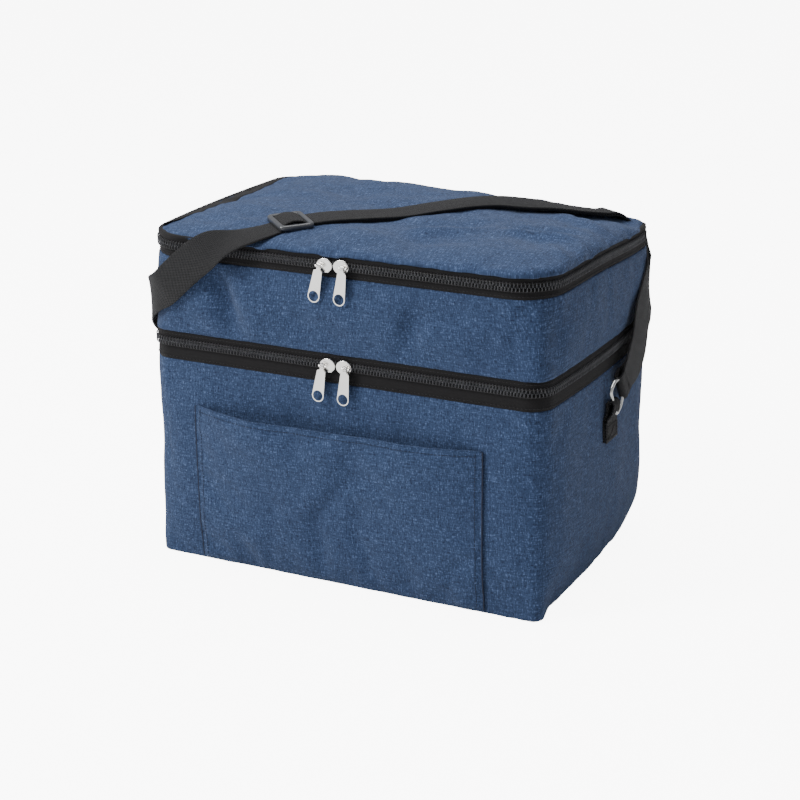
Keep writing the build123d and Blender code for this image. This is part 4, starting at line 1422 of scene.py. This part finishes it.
# ---------------------------------------------------------------- adjuster
ADJUSTER_W, ADJUSTER_L, ADJUSTER_H = 41.5, 29.0, 3.3
adjuster_centre = np.array([ADJUSTER_X, ADJUSTER_Y, lid_top(ADJUSTER_X, ADJUSTER_Y) + 1.0])
# across the strap, along it, and up
adjuster_across, adjuster_along, adjuster_up = unit(np.array([
    (-0.72, 0.69, 0.02), (0.69, 0.72, 0.03), (0.0, -0.05, 1.0)]))


def place(flat, z):
    """Points in the adjuster's own frame to the bag's."""
    return (adjuster_centre + flat[:, :1] * adjuster_across + flat[:, 1:2] * adjuster_along
            + z * adjuster_up)


def rounded_rectangle(width, length, radius):
    points = []
    for sx, sy, start in ((1, 1, 0), (-1, 1, 90), (-1, -1, 180), (1, -1, 270)):
        for a in np.radians(start + np.linspace(0, 90, 6)):
            points.append((sx * (width / 2 - radius) + radius * math.cos(a),
                           sy * (length / 2 - radius) + radius * math.sin(a)))
    return np.array(points)


def adjuster_frame():
    outer = rounded_rectangle(ADJUSTER_W, ADJUSTER_L, 4.6)
    inner = rounded_rectangle(ADJUSTER_W - 8.4, ADJUSTER_L - 8.4, 1.6)
    top = ADJUSTER_H
    # outline, inset, height
    rows = [(outer, 0.0, -0.6), (outer, 0.0, top - 1.5), (outer, 0.35, top - 0.7),
            (outer, 1.0, top - 0.12), (inner, -1.0, top - 0.12), (inner, -0.35, top - 0.5),
            (inner, 0.0, top - 1.1), (inner, 0.0, -0.6)]
    verts = [place(outline - unit(outline - outline.mean(0)) * inset, z)
             for outline, inset, z in rows]
    count = len(outer)
    # one more row that wraps to the first closes the section
    faces = grid_faces(len(rows) + 1, count, True) % (len(rows) * count)
    return np.concatenate(verts), faces


def adjuster_bar():
    """Middle bar, slightly proud, with shallow ribs."""
    # along the strap, height
    profile = np.array([(-3.0, 0.0), (-3.0, 1.2), (-2.3, 2.0), (-1.0, 2.4), (0.0, 2.5),
                        (1.0, 2.4), (2.3, 2.0), (3.0, 1.2), (3.0, 0.0)])
    reach = (ADJUSTER_W - 8.0) / 2
    steps = 60
    verts = []
    for x in np.linspace(-reach, reach, steps):
        rib = 0.22 * math.cos(2 * math.pi * x / 3.3) if abs(x) < 14 else 0.0
        flat = np.column_stack([np.full(len(profile), x), profile[:, 0]])
        height = profile[:, 1] + rib * (profile[:, 1] > 1.9)
        verts.append(place(flat, height[:, None]))
    return np.concatenate(verts), capped_faces(steps, len(profile))


adjuster = join("adjuster_three_bar", [adjuster_frame(), adjuster_bar()], BUCKLE)
clean(adjuster, merge=False)
register(adjuster, "strap", "buckle", "strap_adjuster")

# the webbing comes up through one slot, over the middle bar and down through the other:
# distance along the strap, height
OVER_BAR = [(-12.2, 0.5), (-10.3, 1.1), (-8.0, 2.3), (-5.0, 3.6), (-2.0, 4.3), (1.0, 4.3),
            (4.2, 3.9), (7.4, 2.8), (10.0, 1.2), (12.2, 0.5)]
strap_piece("strap_over_bar",
            catmull([adjuster_centre + adjuster_along * s + np.array([0, 0, z])
                     for s, z in OVER_BAR], 5),
            adjuster_across, 29.0, cup=0.15, ripple=0.1, seed=21)


# ---------------------------------------------------------------- side tabs
def side_tab(word, side):
    """Webbing folded over the ring's straight bar and sewn down on the wall."""
    def wall_x(z, out):
        edge = HALF_W + BOW
        push = float(lower_push(np.array([[side * edge, RING_Y]]), z)[0])
        return side * (edge + push + 1.0 + out)

    # x, z, width
    rows = [(wall_x(z, 3.1), z, 23.5) for z in (117.5, 121, 126, 131)]
    rows += [(side * 186.4, 136.5, 19.0), (side * 189.3, 142.0, 14.0)]
    rows += [(side * (RING_X + 2.6 * math.cos(a)), RING_Z + 2.6 * math.sin(a), 12.0)
             for a in np.radians(np.linspace(-15, 195, 9))]
    rows += [(side * 185.2, 141.0, 14.0), (side * 183.6, 134.0, 19.0)]
    rows += [(wall_x(z, 1.2), z, 23.5) for z in (128, 123, 118)]
    x, z, width = catmull(rows, 4).T
    centre = np.stack([x, np.full_like(x, RING_Y), z], 1)
    name = "side_tab_web_" + word
    ob = folded_web(name, centre, np.array([0, 1.0, 0]), width, half_thick=0.7,
                    uv_half=12.5, ripple=np.clip((25 - width) / 9.0, 0, 1))
    register(ob, "lower", "webbing", "side_tab_" + word)

    # stitched box with one diagonal
    y0, y1, z0, z1 = -7.5, 11.5, 119.8, 131.0
    corners = [(y0, z0), (y1, z0), (y1, z1), (y0, z1), (y0, z0), (y1, z1)]
    path = []
    for start, end in zip(corners, corners[1:]):
        for t in np.linspace(0, 1, 9)[:-1]:
            y, z = (a * (1 - t) + b * t for a, b in zip(start, end))
            path.append((wall_x(z, 3.95), y, z))
    stitches(name + "_stitch", path, (float(side), 0, 0), THREAD, "lower", pitch=2.6,
             length=2.0, radius=0.24)


side_tab("right", 1)
side_tab("left", -1)


# ---------------------------------------------------------------- chain stops
def bar_tack(name, start_y, centre_z, body, replaced):
    """Bar-tacked end of the chain on each side wall."""
    parts = []
    for side in (1, -1):
        for k in range(11):
            y = np.linspace(start_y - 0.3, start_y + 3.9, 7) + 0.25 * (k % 2)
            x = side * (HALF_W + BOW * (1 - (y / HALF_D) ** 2) + 1.15
                        + 0.25 * np.sin(np.linspace(0, math.pi, 7)))
            z = np.full_like(y, centre_z - 4.6 + 9.2 * k / 10)
            parts.append(tube(np.stack([x, y, z], 1), 0.42, 6))
    register(join(name, parts, THREAD), body, "zip_tape", replaced)


bar_tack("main_chain_bartack", HALF_D - 16.5, MAIN_Z, "lower", "main_zip_stops")
bar_tack("top_chain_bartack", HALF_D - 18.5, TOP_Z, "upper", "top_zip_stops")


# ---------------------------------------------------------------- stitch rows on the seams
def seam_row(name, radius, z, out, body):
    outline, normal = front_path(0, radius)
    path = np.column_stack([outline + normal * out, np.full(len(outline), z)])
    outward = np.column_stack([normal, np.zeros(len(normal))])
    stitches(name, path, outward, THREAD, body, pitch=3.2, length=2.4, radius=0.2)


seam_row("stitch_main_low", R_LOW, LOW_TOP + 2.4, 0.0, "lower")
seam_row("stitch_main_high", R_LOW, UP_BOT - 2.2, -0.25, "upper")
seam_row("stitch_top_low", R_TOP, UP_TOP + 2.2, -0.35, "upper")


# ---------------------------------------------------------------- camera, light, floor
def add_camera():
    yaw, pitch, roll = (math.radians(a) for a in (27.13822, 19.18506, -0.784755))
    back = Vector((math.sin(yaw) * math.cos(pitch), -math.cos(yaw) * math.cos(pitch),
                   math.sin(pitch)))
    right = Vector((math.cos(yaw), math.sin(yaw), 0))
    up = back.cross(right)
    rolled_right = right * math.cos(roll) + up * math.sin(roll)
    rolled_up = up * math.cos(roll) - right * math.sin(roll)
    camera = bpy.data.objects.new("camera", bpy.data.cameras.new("camera"))
    scene.collection.objects.link(camera)
    camera.data.lens = 90.036135
    camera.data.sensor_width = 36
    camera.data.clip_end = 50
    matrix = Matrix((rolled_right, rolled_up, back)).transposed().to_4x4()
    matrix.translation = Vector((722.7665, -1414.5147, 676.9465)) * MM
    camera.matrix_world = matrix
    scene.camera = camera


def add_light(name, location, target, size, power):
    """Round area light. Places and size are in metres."""
    light = bpy.data.lights.new(name, "AREA")
    light.shape = "DISK"
    light.size = size
    light.energy = power
    ob = bpy.data.objects.new(name, light)
    scene.collection.objects.link(ob)
    ob.location = location
    aim = Vector(target) - Vector(location)
    ob.rotation_euler = aim.to_track_quat("-Z", "Y").to_euler()


def add_world():
    """Soft surround light that the camera sees as near white."""
    world = bpy.data.worlds.new("studio")
    scene.world = world
    world.use_nodes = True
    background = world.node_tree.nodes["Background"]
    background.inputs[0].default_value = (0.95, 0.96, 1.0, 1)
    sh = Shader(world.node_tree)
    seen = sh.add("ShaderNodeLightPath").outputs["Is Camera Ray"]
    base_strength, camera_boost = 0.44, 10.0
    strength = sh.math("ADD", base_strength, sh.math("MULTIPLY", seen, camera_boost))
    sh.put(background.inputs[1], strength)


def add_floor():
    """Pale floor that glows for the camera only."""
    material, sh, bsdf = new_material("floor_pale")
    clouds = sh.noise(sh.coordinates("Object"), scale=3.0)
    colour = sh.mix(sh.map_range(clouds, 0.3, 0.7), (0.88, 0.88, 0.88, 1),
                    (0.92, 0.92, 0.92, 1))
    seen = sh.add("ShaderNodeLightPath").outputs["Is Camera Ray"]
    sh.surface(bsdf, {"Base Color": colour, "Emission Color": (1, 1, 1, 1),
                      "Emission Strength": sh.math("MULTIPLY", seen, 8.0),
                      "Roughness": 0.9})
    reach, z = 12000, -0.4
    corners = [(-reach, -reach, z), (reach, -reach, z), (reach, reach, z), (-reach, reach, z)]
    new_object("floor", corners, [(0, 1, 2, 3)], material)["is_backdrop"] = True


add_camera()
add_light("key", (-1.45, -1.5, 1.75), target=(0, 0, 0.12), size=1.1, power=62)
add_light("top", (-0.1, 0.2, 2.3), target=(0, 0, 0.2), size=1.5, power=34)
add_light("fill", (2.2, -0.6, 0.9), target=(0, 0, 0.15), size=1.5, power=1.2)
add_world()
add_floor()


def plain_list(box):
    # guards against bounds that are one flat row of numbers instead of rows of points
    try:
        return [[float(c) for c in point] for point in box]
    except TypeError:
        return [float(c) for c in box]


{"cad": plain_list(cad_box), "visual": plain_list(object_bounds())}
